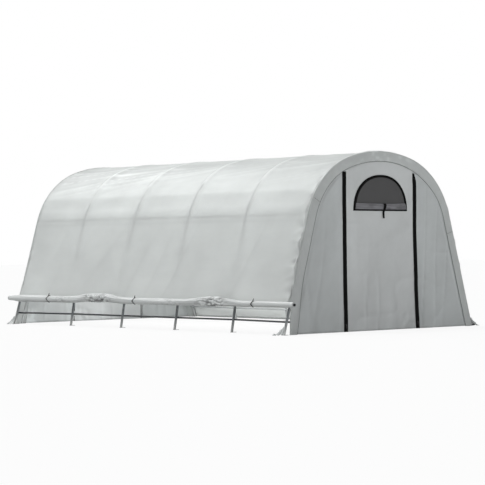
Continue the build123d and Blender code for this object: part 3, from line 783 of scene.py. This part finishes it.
def end_painted_light(x, z, seed):
    """Painted shade on the turned-away side of each of an end sheet's waves and in its wrinkles,
    painted highlight on the side towards the light.
    """
    slope = (end_wave(x + 0.012, z, seed) - end_wave(x - 0.012, z, seed)) / 0.024
    climb = (end_wave(x, z + 0.012, seed) - end_wave(x, z - 0.012, seed)) / 0.024
    return np.clip(1.1 * slope - 1.3 * climb, -0.22, 0.22)


def foot_painted_light(x, z, seed):
    """Painted shade and highlight at the rear end's near foot, which alone show spare cloth bunched up
    beside the leg.
    """
    place = smooth(HALF_WIDTH - 0.46, HALF_WIDTH - 0.40, x) * smooth(0.23, 0.19, z)
    wrinkle = creases(x * 13, z * 16, seed + 3, 2.2)
    pucker = lattice_noise(x * 9, z * 14, seed + 4)
    return place * (0.65 * wrinkle + 0.35 * pucker - 0.75)


def zip_x(index, z):
    return np.interp(np.asarray(z, float), ZIP_HEIGHTS, ZIP_PATHS[index])


def to_house(end, x, out, z):
    """A place on an end, given as seen from outside it, in the frame of the house."""
    x, out, z = np.broadcast_arrays(x, out, z)
    return np.stack([-end * x, end * (END_FACE + out), z], -1)


def seam_top(index):
    """Height at which the middle of a zip meets the seam."""
    z = ZIP_TOP_HEIGHT
    for _ in range(12):
        z = float(inset_height(zip_x(index, z), BAND_WIDTH))
    return z


def ruled(left, right, top, columns):
    """Rows of places from the hem up to a height, between two upright edges."""
    z = np.linspace(HEM_HEIGHT, top, int(top / GRID) + 1)
    z, share = np.meshgrid(z, np.linspace(0, 1, columns), indexing="ij")
    return left(z) * (1 - share) + right(z) * share, z


def on_waves(end, x, z, seed):
    """Points of a sheet of an end, standing out by its waves."""
    return to_house(end, x, end_wave(x, z, seed) - 0.002, z).reshape(-1, 3)


def build_side_panels(end, name, seed):
    """The panels beside the door, which reach behind the zips to their middles."""
    for index, side in enumerate(("left", "right")):
        sign = 2 * index - 1

        def seam(z):
            return sign * inset_half_width(z, PANEL_EDGE)

        def by_zip(z):
            return sign * np.minimum(sign * zip_x(index, z) + ZIP_GAP, sign * seam(z) - 0.002)

        edges = (by_zip, seam) if index else (seam, by_zip)
        x, z = ruled(*edges, seam_top(index) + 0.004, max(4, int(1.0 / GRID)))
        fold = end_painted_light(x, z, seed)
        # Painted shade and highlight of bunched cloth at the rear end's near foot
        if end == REAR:
            fold = fold + foot_painted_light(x, z, seed)
        looks = (SHADED_PANEL_FILM, "end_sheet", (f"{name}_{side}_panel",), fold)
        points, faces = on_waves(end, x, z, seed), grid_faces(*x.shape)
        rests_on = [f"{name}_band", f"{name}_zips"]
        make_sheet(f"{name}_{side}_sheet", points, faces, *looks, (1.05, 2.2), "hung", rests_on)


def window_outline(grow, count):
    """The half-moon's outline as seen from outside, from its left corner round over the top."""
    half = WINDOW_RADIUS + grow
    middle = WINDOW_X - 0.20 * grow
    low = WINDOW_SILL - grow * SILL_SHARE
    tall = WINDOW_TOP + grow * TOP_SHARE - low
    points = []
    arc_count = int(count * 0.62)
    for k in range(arc_count):
        angle = math.pi * (1 - k / arc_count)
        across = math.copysign(abs(math.cos(angle)) ** ARCH_POWER, math.cos(angle))
        skew = 0.016 * math.sin(angle) ** 3
        points.append((middle + half * across + skew, low + tall * math.sin(angle) ** ARCH_POWER))
    sill_count = count - arc_count
    for k in range(sill_count):
        points.append((middle + half - 2 * half * k / sill_count, low))
    return points


def build_door(end, name, seed):
    """The door: straight rows below the window, and rings from its outline to the door's edges."""

    def left(z):
        return zip_x(0, z) + ZIP_GAP

    def right(z):
        return zip_x(1, z) - ZIP_GAP

    split, columns = DOOR_SPLIT_HEIGHT, int(1.3 / GRID) + 1
    x, z = ruled(left, right, split, columns)
    faces = grid_faces(*x.shape)
    upright = int(0.62 / GRID)
    tops = [float(inset_height(zip_x(index, ZIP_TOP_HEIGHT), PANEL_EDGE)) for index in (0, 1)]
    over = np.linspace(float(left(tops[0])), float(right(tops[1])), columns)
    outer = [(v, split) for v in x[-1, ::-1]]
    for k in range(1, upright):
        height = split + (tops[0] - split) * k / upright
        outer.append((float(left(height)), height))
    outer += [(v, float(inset_height(v, PANEL_EDGE))) for v in over]
    for k in range(1, upright):
        height = tops[1] + (split - tops[1]) * k / upright
        outer.append((float(right(height)), height))
    outer = np.array(outer)
    fine = np.array(window_outline(0.0, 2000))

    def bearing(places):
        return np.arctan2(places[:, 1] - WINDOW_TOP + 0.25, places[:, 0] - WINDOW_X)

    apart = bearing(fine)[None, :] - bearing(outer)[:, None]
    inner = fine[np.argmin(np.abs(np.angle(np.exp(1j * apart))), axis=1)]
    count = 14
    shares = (np.arange(count) / (count - 1)) ** 1.1
    rings = [inner + (outer - inner) * share for share in shares]
    faces += grid_faces(count, len(outer), x.size, around=True)
    x, z = np.concatenate([np.stack([x.ravel(), z.ravel()], -1), *rings]).T
    looks = (SHADED_DOOR_FILM, "end_sheet", (f"{name}_door_panel",), end_painted_light(x, z, seed))
    rests_on = [f"{name}_band", f"{name}_zips"]
    points = on_waves(end, x, z, seed)
    how = ((1.36, 2.29), "hung", rests_on)
    make_sheet(f"{name}_door_sheet", points, faces, *looks, *how, welded=True)


BAND_JOINS = (1.886, 2 * HALF_LENGTH - 1.406)


def from_near_ground(end, s):
    """Distance along the section from the near ground line, for s counted from an end's left."""
    return s if end == FRONT else 2 * HALF_LENGTH - s


def seam_inset(end, s):
    """How far the seam lies inside the edge: wider towards the ground on the near side."""
    from_near = from_near_ground(end, s)
    inset = PANEL_EDGE + 0.090 * smooth(0.85, 0.0, from_near)
    return inset + 0.026 * near_to(from_near, HALF_LENGTH + 0.95, 0.42)


def band_painted_light(rows, s, seed):
    """Painted highlight on the gathers over the top of the band, painted shade and highlight on its lip
    and, softly, down its sides.
    """
    row = np.arange(rows)[:, None] * np.ones(len(s))
    spots = lattice_noise(s * 13, row * 0.30, seed + 8)
    top = near_to(from_ground(s), HALF_LENGTH, 0.75)
    fold = -0.45 * np.clip(spots, 0, 1) * top + 0.05 * spots * (1 - top)
    lip = (row > rows - 5) * smooth(2.6, 2.0, s)
    return fold + 0.45 * lip * lattice_noise(s * 9, row * 0.5, seed + 9)


def band_rows(end, s, seed):
    """Rows of the band from the seam outwards, each a place across, out and up."""
    t, from_near = from_ground(s), from_near_ground(end, s)
    bend, level = BAND_BEND, np.zeros_like(s)
    gather = lattice_noise(s * 16, level, seed)
    gather = gather * (0.35 + 0.65 * smooth(LEG_LENGTH - 0.4, LEG_LENGTH + 0.6, t))
    gather = gather * (1 + 1.2 * near_to(t, HALF_LENGTH, 0.6))
    sewn = sum(near_to(s, place, 0.010) for place in BAND_JOINS)
    soft = lattice_noise(s * 2.1, level, seed + 1)
    # Below the rolled-up side the band stops short of the leg and leaves it bare
    bare = smooth(0.40, 0.32, from_near) if end == FRONT else level
    rim = bend + bare * (0.026 + 0.060 * smooth(0.30, 0.0, from_near))
    seam = seam_inset(end, s) + 0.004
    rows = []
    for share in np.linspace(0, 1, 9):
        middle = math.sin(math.pi * share * 0.96)
        out = 0.0012 + middle * (0.0030 * gather + 0.0035 * soft) + 0.0016 * sewn
        rows.append((-(seam + (rim - seam) * share), out))
    for turn in np.radians((25, 45, 65, 85)):
        inset = rim - (bend * math.sin(turn) + 0.0022) * (1 - bare)
        out = -bend * (1 - math.cos(turn)) * (1 - bare) - 0.003 * bare + 0.001 + 0.0006 * gather
        rows.append((-inset, out))
    scallop = np.abs(lattice_noise(s * 6.5, level + 4, seed + 2))
    lip = 0.012 + 0.034 * scallop * smooth(0.3, 0.7, t) * smooth(LEG_LENGTH + 0.9, LEG_LENGTH, t)
    for share in (0.35, 0.7, 1.0):
        under = cover_offset(s, end * (END_FACE - bend - lip * share))
        ruffle = 0.0090 * share * scallop if end == FRONT else 0.0
        stand = (np.maximum(under, -0.004) + 0.0030 + ruffle) * (1 - bare) - rim * bare
        rows.append((stand, (-bend - lip * share) * (1 - bare) - (0.003 + 0.004 * share) * bare))
    return rows


def build_band(end, name, seed):
    """The band: flat from the seam to the end rib, rounded over it, and a lip over the cover."""
    step = 0.022
    s = np.linspace(0.006, 2 * HALF_LENGTH - 0.006, int(2 * HALF_LENGTH / step))
    points = []
    rows = band_rows(end, s, seed)
    for stand, out in rows:
        x, z = section_at(s, stand)[:2]
        points.append(to_house(end, x, out, np.maximum(z, 0.0008)))
    faces = grid_faces(len(rows), len(s), flip=True)
    looks = (SHADED_BAND_FILM, "end_sheet", (f"{name}_band",), band_painted_light(len(rows), s, seed))
    how = ((2 * HALF_LENGTH, 0.22), "stretched", [f"{name}_left_sheet", "rib_crowns"])
    band = make_sheet(f"{name}_band_sheet", np.concatenate(points), faces, *looks, *how)
    band.data.materials.append(COVER)
    lip_start = (len(rows) - 5) * (len(s) - 1)
    for polygon in list(band.data.polygons)[lip_start:]:
        polygon.material_index = 1
    # The sewn seam between the band and the panels, and the joins across the band
    shapes = Shapes()
    x, z = section_at(s, -seam_inset(end, s))[:2]
    shapes.add(*tube_along(to_house(end, x, 0.0024, np.maximum(z, 0.004)), 0.0024, 6))
    inset = np.linspace(BAND_WIDTH - 0.02, BAND_BEND, 10)
    for place in BAND_JOINS:
        x, z = section_at(np.full_like(inset, place), -inset)[:2]
        shapes.add(*tube_along(to_house(end, x, 0.0030, z), 0.0022, 6))
    shapes.piece(f"{name}_seam", SEAM_THREAD, "zip_tape")


# Half of a zip tape's cross-section, from its raised edge to the middle: place and height
ZIP_HALF_PROFILE = (
    (0.0360, 0.0005),
    (0.0345, 0.0030),
    (0.0300, 0.0032),
    (0.0280, 0.0022),
    (0.0090, 0.0022),
    (0.0070, 0.0036),
)


def build_zips(end, name, seed):
    """Each zip: two tapes with raised edges, a row of teeth and a slider with its pull."""
    profile = [(-across, height) for across, height in ZIP_HALF_PROFILE]
    profile += ZIP_HALF_PROFILE[::-1]
    profile += [(0.0360, -0.0008), (-0.0360, -0.0008)]
    tape, teeth, metal = Shapes(), Shapes(), Shapes()
    for index in (0, 1):
        top = seam_top(index) + (0.004, -0.036)[index]
        z = np.linspace(HEM_HEIGHT, top, int(top / 0.03))
        wobble = 0.0015 * lattice_noise(z * 3, np.full_like(z, index), 61 + index)
        # The second zip narrows towards its top
        taper = 1 - 0.5 * index * smooth(top - 0.11, top, z)
        middle = zip_x(index, z)
        across, height = np.array(profile).T
        x = middle[:, None] + across * taper[:, None] + wobble[:, None]
        stand = end_wave(middle, z, seed)[:, None] + height
        points = to_house(end, x, stand, z[:, None]).reshape(-1, 3)
        tape.add(points, tube_faces(len(z), len(profile)))
        line = np.linspace(HEM_HEIGHT + 0.01, top - 0.01, int(top / 0.006))
        zig = 0.0015 * np.where(np.arange(len(line)) % 2, 1, -1)
        x = zip_x(index, line) + zig + np.interp(line, z, wobble)
        stand = end_wave(zip_x(index, line), line, seed) + 0.0046
        teeth.add(*tube_along(to_house(end, x, stand, line), 0.0022, 5))
        # Slider and pull, at the foot of the zip
        at = float(zip_x(index, 0.10))
        stand = float(end_wave(at, 0.10, seed))
        metal.add(*slab(end, at, 0.100, stand + 0.0070, (0.014, 0.020, 0.004), 0.3))
        metal.add(*slab(end, at, 0.070, stand + 0.0095, (0.008, 0.042, 0.002), 0.5))
    tape.piece(f"{name}_zip_tapes", ZIP_TAPE, "zip_tape", (f"{name}_zips",))
    teeth.piece(f"{name}_zip_teeth", ZIP_TEETH, "zip_tape")
    metal.piece(f"{name}_zip_pulls", PULL_PAINT, "frame_tube")


def slab(end, x, z, out, size, round_off):
    """A small plate with rounded corners, as seen from outside the end."""
    width, height, depth = size
    corner = min(width, height) * round_off
    outline = []
    for first, (sign_x, sign_z) in enumerate(((1, 1), (-1, 1), (-1, -1), (1, -1))):
        cx, cz = sign_x * (width / 2 - corner), sign_z * (height / 2 - corner)
        for k in range(4):
            angle = math.radians(90 * first + 30 * k)
            outline.append((cx + corner * math.cos(angle), cz + corner * math.sin(angle)))
    points = []
    for level, shrink in ((-0.5, 0.92), (-0.3, 1.0), (0.3, 1.0), (0.5, 0.92)):
        points += [(x + px * shrink, out + level * depth, z + pz * shrink) for px, pz in outline]
    return to_house(end, *np.array(points).T), tube_faces(4, len(outline), flip=True)


def build_window(end, name, seed):
    """The half-moon's binding, a flat tape with rounded edges, and its mesh, bellied a little."""
    count = 160
    profile = (
        (0.009, -0.001),
        (0.009, 0.0028),
        (0.004, 0.0042),
        (-0.030, 0.0042),
        (-0.038, 0.0030),
        (-0.038, -0.001),
    )
    points = []
    for grow, height in profile:
        for px, pz in window_outline(grow, count):
            points.append((px, height + 0.0008 * math.sin(px * 37 + pz * 23), pz))
    faces = grid_faces(len(profile), count, around=True)
    last = (len(profile) - 1) * count
    for k in range(count):
        m = (k + 1) % count
        faces.append((last + k, last + m, m, k))
    binding, replaces = f"{name}_window_binding", (f"{name}_window_trim",)
    made = to_house(end, *np.array(points).T)
    make_piece(binding, made, faces, BINDING, replaces)
    rings = 10
    centre = np.array([WINDOW_X, WINDOW_SILL + 0.20])
    outline = np.array(window_outline(0.001, count))
    flat = [centre + (outline - centre) * r / rings for r in range(rings, 0, -1)]
    x, z = np.concatenate([*flat, centre[None, :]]).T
    belly = -0.002 + 0.003 * lattice_noise(x * 4, z * 4, seed)
    belly = belly * smooth(0.5, 0.2, np.hypot(x - centre[0], z - centre[1])) - 0.0015
    faces = grid_faces(rings, count, around=True, flip=True)
    tip, last = rings * count, (rings - 1) * count
    for k in range(count):
        faces.append((tip, last + (k + 1) % count, last + k))
    looks = (MESH, "window_mesh", (f"{name}_window_screen",), None)
    how = ((1.035, 0.48), "stretched", [binding])
    make_sheet(f"{name}_mesh", to_house(end, x, belly, z), faces, *looks, *how, thick=False)
    build_flap(end, name, seed)
    build_strap(end, name)


def build_flap(end, name, seed):
    """The window's own sheet, let down and folded in two along the sill."""
    low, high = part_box(f"{name}_window_flap")
    bottom, top = low.z, high.z
    half_low, half_high = high.x - 0.002, high.x - 0.022
    columns, rows = (110), 12
    points, folds = [], []
    # One strip of sheet: up the back, over the fold, and down the front
    path = [(0.0022, 0.02 + 0.96 * k / rows) for k in range(rows + 1)]
    path += [(0.0060, 1.0), (0.0115, 0.985)]
    path += [(0.0130, 0.96 - 0.93 * k / rows) for k in range(rows + 1)]
    share = np.linspace(-1, 1, columns)
    for out, level in path:
        z = bottom + (top - bottom) * level
        half = half_low + (half_high - half_low) * level
        x = WINDOW_X + share * half
        fold = lattice_noise(x * 7 + level, np.full_like(x, level * 2.2 + out * 60), seed + 5)
        fine = creases(x * 9 + level * 2, np.full_like(x, level * 3.0), seed + 6, 2.0)
        front = 1.0 if out > 0.004 else 0.15
        turned = 0.5 * (near_to(share, -1, 0.10) + near_to(share, 1, 0.12))
        stand = out + front * (0.0042 * fold + 0.0040 * fine - 0.008 * turned * level)
        rise = 0.006 * lattice_noise(x * 3, np.full_like(x, 1.0), seed + 7) * level**3
        rise -= (0.006 + 0.016 * near_to(x, 0.03, 0.30)) * level**2
        points.append(to_house(end, x, stand, np.full_like(x, z) + rise))
        # Painted shade and highlight on the flap: streaks of both, painted highlight along the wisps
        # and the top of the fold, painted shade in the turned corners
        streak = lattice_noise(x * 9, np.full_like(x, level * 4.5), seed + 8)
        wisp = creases(x * 5, np.full_like(x, level * 5.0) + x * 1.5, seed + 9, 1.6)
        folds.append(0.50 * streak - 0.55 * wisp + 0.8 * turned * (1 - level) - 0.5 * level**8)
    looks = (FLAP_SHEET, "flap_sheet", (f"{name}_window_flap",), np.concatenate(folds))
    how = ((0.99, 0.21), "folded", [f"{name}_window_binding"])
    faces = grid_faces(len(path), columns)
    make_sheet(f"{name}_flap", np.concatenate(points), faces, *looks, *how)


def build_strap(end, name):
    """The strap: from behind the flap's top, down over it and free below the sill."""
    low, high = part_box(f"{name}_window_flap")
    bottom, top = low.z, high.z
    middle = WINDOW_X + 0.058
    # How far it stands out, its height, and how far it sways across
    line = (
        (0.0010, top - 0.022, 0.006),
        (0.0120, top - 0.012, 0.004),
        (0.0205, top - 0.026, 0.014),
        (0.0205, top - 0.055, 0.014),
        (0.0200, bottom + 0.010, 0.0),
        (0.0130, bottom - 0.018, -0.008),
        (0.0075, bottom - 0.040, -0.012),
        (0.0070, bottom - 0.080, -0.006),
        (0.0085, bottom - 0.118, -0.004),
    )
    points = []
    for k, (out, z, sway) in enumerate(line):
        half = 0.031 - 0.013 * k / (len(line) - 1)
        for dx, lift in ((-half, 0), (half, 0), (half, 0.0022), (-half, 0.0022)):
            points.append((middle + sway + dx, out + lift, z))
    points = to_house(end, *np.array(points).T)
    last = (len(line) - 1) * 4
    faces = grid_faces(len(line), 4, around=True)
    faces += [(0, 1, 2, 3), (last + 3, last + 2, last + 1, last)]
    replaces = (f"{name}_window_strap",)
    strap = make_piece(f"{name}_strap", points, faces, BINDING, replaces)
    soften = strap.modifiers.new("round", "SUBSURF")
    soften.levels = soften.render_levels = 2


# Corner tails


def build_tail(side, end, node, seed):
    """A gathered tail of cover: folds that hang by the leg and fan out along the ground."""
    low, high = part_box(node)
    inner, outer = (low.x, high.x) if side == FAR else (high.x, low.x)
    edge = low.y if end == FRONT else high.y
    rows, columns = ((30, 48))
    down, across = np.meshgrid(np.linspace(0, 1, rows), np.linspace(0, 1, columns), indexing="ij")
    spread = 0.16 + 0.84 * down**1.3
    wander = lattice_noise(down * 3, across * 2, seed)
    folds = np.sin(across * 17 + 3.0 * wander + 2.5 * down)
    if (side, end) == (NEAR, FRONT):
        # The leg holds this one, so only its outer folds fan out
        along = 0.62
        reach = down**1.1 * (0.08 + 0.92 * across**0.8)
        sag = 0.85 + 0.25 * across
    else:
        along = 0.94
        reach = down ** (1.1 + 0.5 * across) * (1 - 0.25 * across)
        sag = 0.9 + 0.5 * (1 - across)
    fan = 0.75 if side == NEAR else 0.93
    x = inner + (outer - inner) * (0.03 + fan * np.clip(reach + 0.03 * folds, 0, 1))
    y = edge - end * (high.y - low.y) * (0.02 + along * across * spread)
    z = high.z * (1 - down) ** sag + 0.007 * folds
    z += 0.008 * lattice_noise(down * 7, across * 7, seed + 1)
    points = np.stack([x, y, np.clip(z, 0.0012, high.z - 0.0005)], -1).reshape(-1, 3)
    # Painted shade in the hollows between the folds and painted highlight on their tops
    depth = 0.55 * np.clip(-folds, 0, 1) ** 2 - 0.25 * np.clip(folds, 0, 1)
    faces = grid_faces(rows, columns, flip=side * end > 0)
    looks = (SHADED_FOLD_FILM, "cover_sheet", (node,), depth)
    make_sheet(f"{node}_cloth", points, faces, *looks, (0.24, 0.16), "draped", ["cover_skin"])


# Steel


# Tubes in a paler copy of the frame paint, as painted light: no darker than the sheet in front of them,
# or not seen at all
PALE_TUBES = ("far_bottom_rail", "far_rib_legs", "far_rib_bends", "near_rib_bends", "rib_crowns")
PALE_TUBES += ("near_purlin", "far_purlin", "ridge_purlin")


def paint_frame():
    """Each CAD tube keeps its shape and takes its paint."""
    paints = {"frame_tube": FRAME_PAINT, "foot_plate": FOOT_PAINT, "roll_tube": ROLL_PAINT}
    slots = {p["node"]: p["material_slot"] for p in frame["record"]["subparts"]}
    for node, piece in frame["nodes"].items():
        paint = paints.get(slots.get(node))
        if "bottom_rail" in node:
            paint = RAIL_PAINT
        if node in PALE_TUBES:
            paint = LIT_COPY_PAINT
        if paint:
            for place in piece.material_slots:
                place.material = paint


# Room, light and camera


WORLD_LIGHT = 0.52
FLOOR_COLOR = (0.60, 0.60, 0.60)
FLOOR_GLOW = 0.90
MIDDLE = (0, 0, 0)


def seen_ray(tree):
    """1 for rays that see the background: straight, in a reflection, or through glass."""
    path = tree.nodes.new("ShaderNodeLightPath")
    seen = path.outputs["Is Camera Ray"]
    for ray in ("Is Glossy Ray", "Is Transmission Ray"):
        either = tree.nodes.new("ShaderNodeMath")
        either.operation = "MAXIMUM"
        tree.links.new(seen, either.inputs[0])
        tree.links.new(path.outputs[ray], either.inputs[1])
        seen = either.outputs[0]
    return seen


def mix_shaders(tree, factor, first, second, output):
    mix = tree.nodes.new("ShaderNodeMixShader")
    for key, value in enumerate((factor, first.outputs[0], second.outputs[0])):
        tree.links.new(value, mix.inputs[key])
    tree.links.new(mix.outputs[0], tree.nodes[output].inputs["Surface"])


def build_floor():
    """A pale floor that keeps the shadow and is seen nearly white."""
    size, low = 90.0, -0.0005
    mesh = bpy.data.meshes.new("floor")
    corners = [(-size, -size, low), (size, -size, low), (size, size, low), (-size, size, low)]
    mesh.from_pydata(corners, [], [(0, 1, 2, 3)])
    floor = bpy.data.objects.new("floor", mesh)
    bpy.context.scene.collection.objects.link(floor)
    material = bpy.data.materials.new("floor_white")
    material.use_nodes = True
    tree = material.node_tree
    shader = tree.nodes["Principled BSDF"]
    shader.inputs["Base Color"].default_value = (*FLOOR_COLOR, 1)
    shader.inputs["Roughness"].default_value = 0.9
    share = tree.nodes.new("ShaderNodeMath")
    share.operation = "MULTIPLY"
    share.inputs[1].default_value = FLOOR_GLOW
    tree.links.new(seen_ray(tree), share.inputs[0])
    glow = tree.nodes.new("ShaderNodeEmission")
    mix_shaders(tree, share.outputs[0], shader, glow, "Material Output")
    mesh.materials.append(material)


def build_sky():
    """A pale studio sky that lights the house, seen as white."""
    world = bpy.data.worlds.new("studio")
    bpy.context.scene.world = world
    world.use_nodes = True
    tree = world.node_tree
    light = tree.nodes["Background"]
    light.inputs["Color"].default_value = (0.97, 0.985, 1.0, 1)
    light.inputs["Strength"].default_value = WORLD_LIGHT
    white = tree.nodes.new("ShaderNodeBackground")
    white.inputs["Color"].default_value = (1, 1, 1, 1)
    mix_shaders(tree, seen_ray(tree), light, white, "World Output")


def add_lamp(name, kind, place, aim, power, **settings):
    light = bpy.data.lights.new(name, kind)
    light.energy = power
    for key, value in settings.items():
        setattr(light, key, value)
    lamp = bpy.data.objects.new(name, light)
    lamp.location = place
    lamp.rotation_mode = "QUATERNION"
    lamp.rotation_quaternion = (Vector(place) - Vector(aim)).to_track_quat("Z", "Y")
    bpy.context.scene.collection.objects.link(lamp)


def add_sun(name, direction, power, angle):
    add_lamp(name, "SUN", direction, MIDDLE, power, angle=math.radians(angle))


def add_soft_box(name, place, aim, power, width, length):
    size = {"shape": "RECTANGLE", "size": width, "size_y": length}
    add_lamp(name, "AREA", place, aim, power, **size)


def build_lamps():
    """Soft light from all sides. The three lamps inside the house make up for daylight that the
    modelled cover lets through too little."""
    add_sun("key", (-0.22, 0.33, 0.92), 1.75, 18)
    add_sun("fill", (0.05, -0.98, 0.15), 0.80, 60)
    add_sun("sky", (0.02, 0.75, 0.66), 0.40, 34)
    add_soft_box("inside", (-0.9, 0, 1.5), (1.6, 0, 0.3), 70.0, 5.2, 0.8)
    cone = {"spot_size": math.radians(28), "spot_blend": 0.8, "shadow_soft_size": 0.35}
    add_lamp("inside_rear", "SPOT", (0.6, -2.2, 0.75), (-0.95, 3.05, 0.05), 560.0, **cone)
    add_soft_box("inside_low", (0.4, 0.45, 0.6), (1.85, 0.45, 0.1), 9.0, 5.1, 0.3)
    add_soft_box("rear", (0.3, 6.0, 6.0), (0, 2.4, 2.2), 60.0, 3.0, 3.0)


def build_camera():
    """The photograph's camera, fitted to the outline of the house."""
    place = Vector((-18.334, -20.974, 1.156))
    yaw, pitch, roll = math.radians(42.32), math.radians(0.12), math.radians(-0.49)
    flat = math.cos(pitch)
    ahead = Vector((math.sin(yaw) * flat, math.cos(yaw) * flat, math.sin(pitch)))
    level = Vector((math.cos(yaw), -math.sin(yaw), 0))
    upright = level.cross(ahead)
    right = level * math.cos(roll) + upright * math.sin(roll)
    up = upright * math.cos(roll) - level * math.sin(roll)
    focal_pixels, frame_pixels, middle_pixel = 1880.0, 485.0, 271.6
    data = bpy.data.cameras.new("photo_camera")
    data.sensor_width = 36.0
    data.lens = focal_pixels / frame_pixels * data.sensor_width
    data.shift_x = (frame_pixels / 2 - middle_pixel) / frame_pixels
    data.clip_end = 300.0
    camera = bpy.data.objects.new("photo_camera", data)
    turn = Matrix((right, up, -ahead)).transposed().to_4x4()
    camera.matrix_world = Matrix.Translation(place) @ turn
    bpy.context.scene.collection.objects.link(camera)
    bpy.context.scene.camera = camera


def main():
    build_camera()
    build_floor()
    build_sky()
    build_lamps()
    bpy.context.scene.view_settings.view_transform = "Standard"
    paint_frame()
    build_cover()
    build_roll()
    build_ties()
    build_far_hem()
    for end, name, seed in ((FRONT, "front", 100), (REAR, "rear", 300)):
        build_band(end, name, seed)
        build_side_panels(end, name, seed + 20)
        build_door(end, name, seed + 20)
        build_zips(end, name, seed + 20)
        build_window(end, name, seed + 60)
    seed = 500
    for side, side_name in ((NEAR, "near"), (FAR, "far")):
        for end, end_name in ((FRONT, "front"), (REAR, "rear")):
            build_tail(side, end, f"{side_name}_{end_name}_tail", seed)
            seed += 10


main()
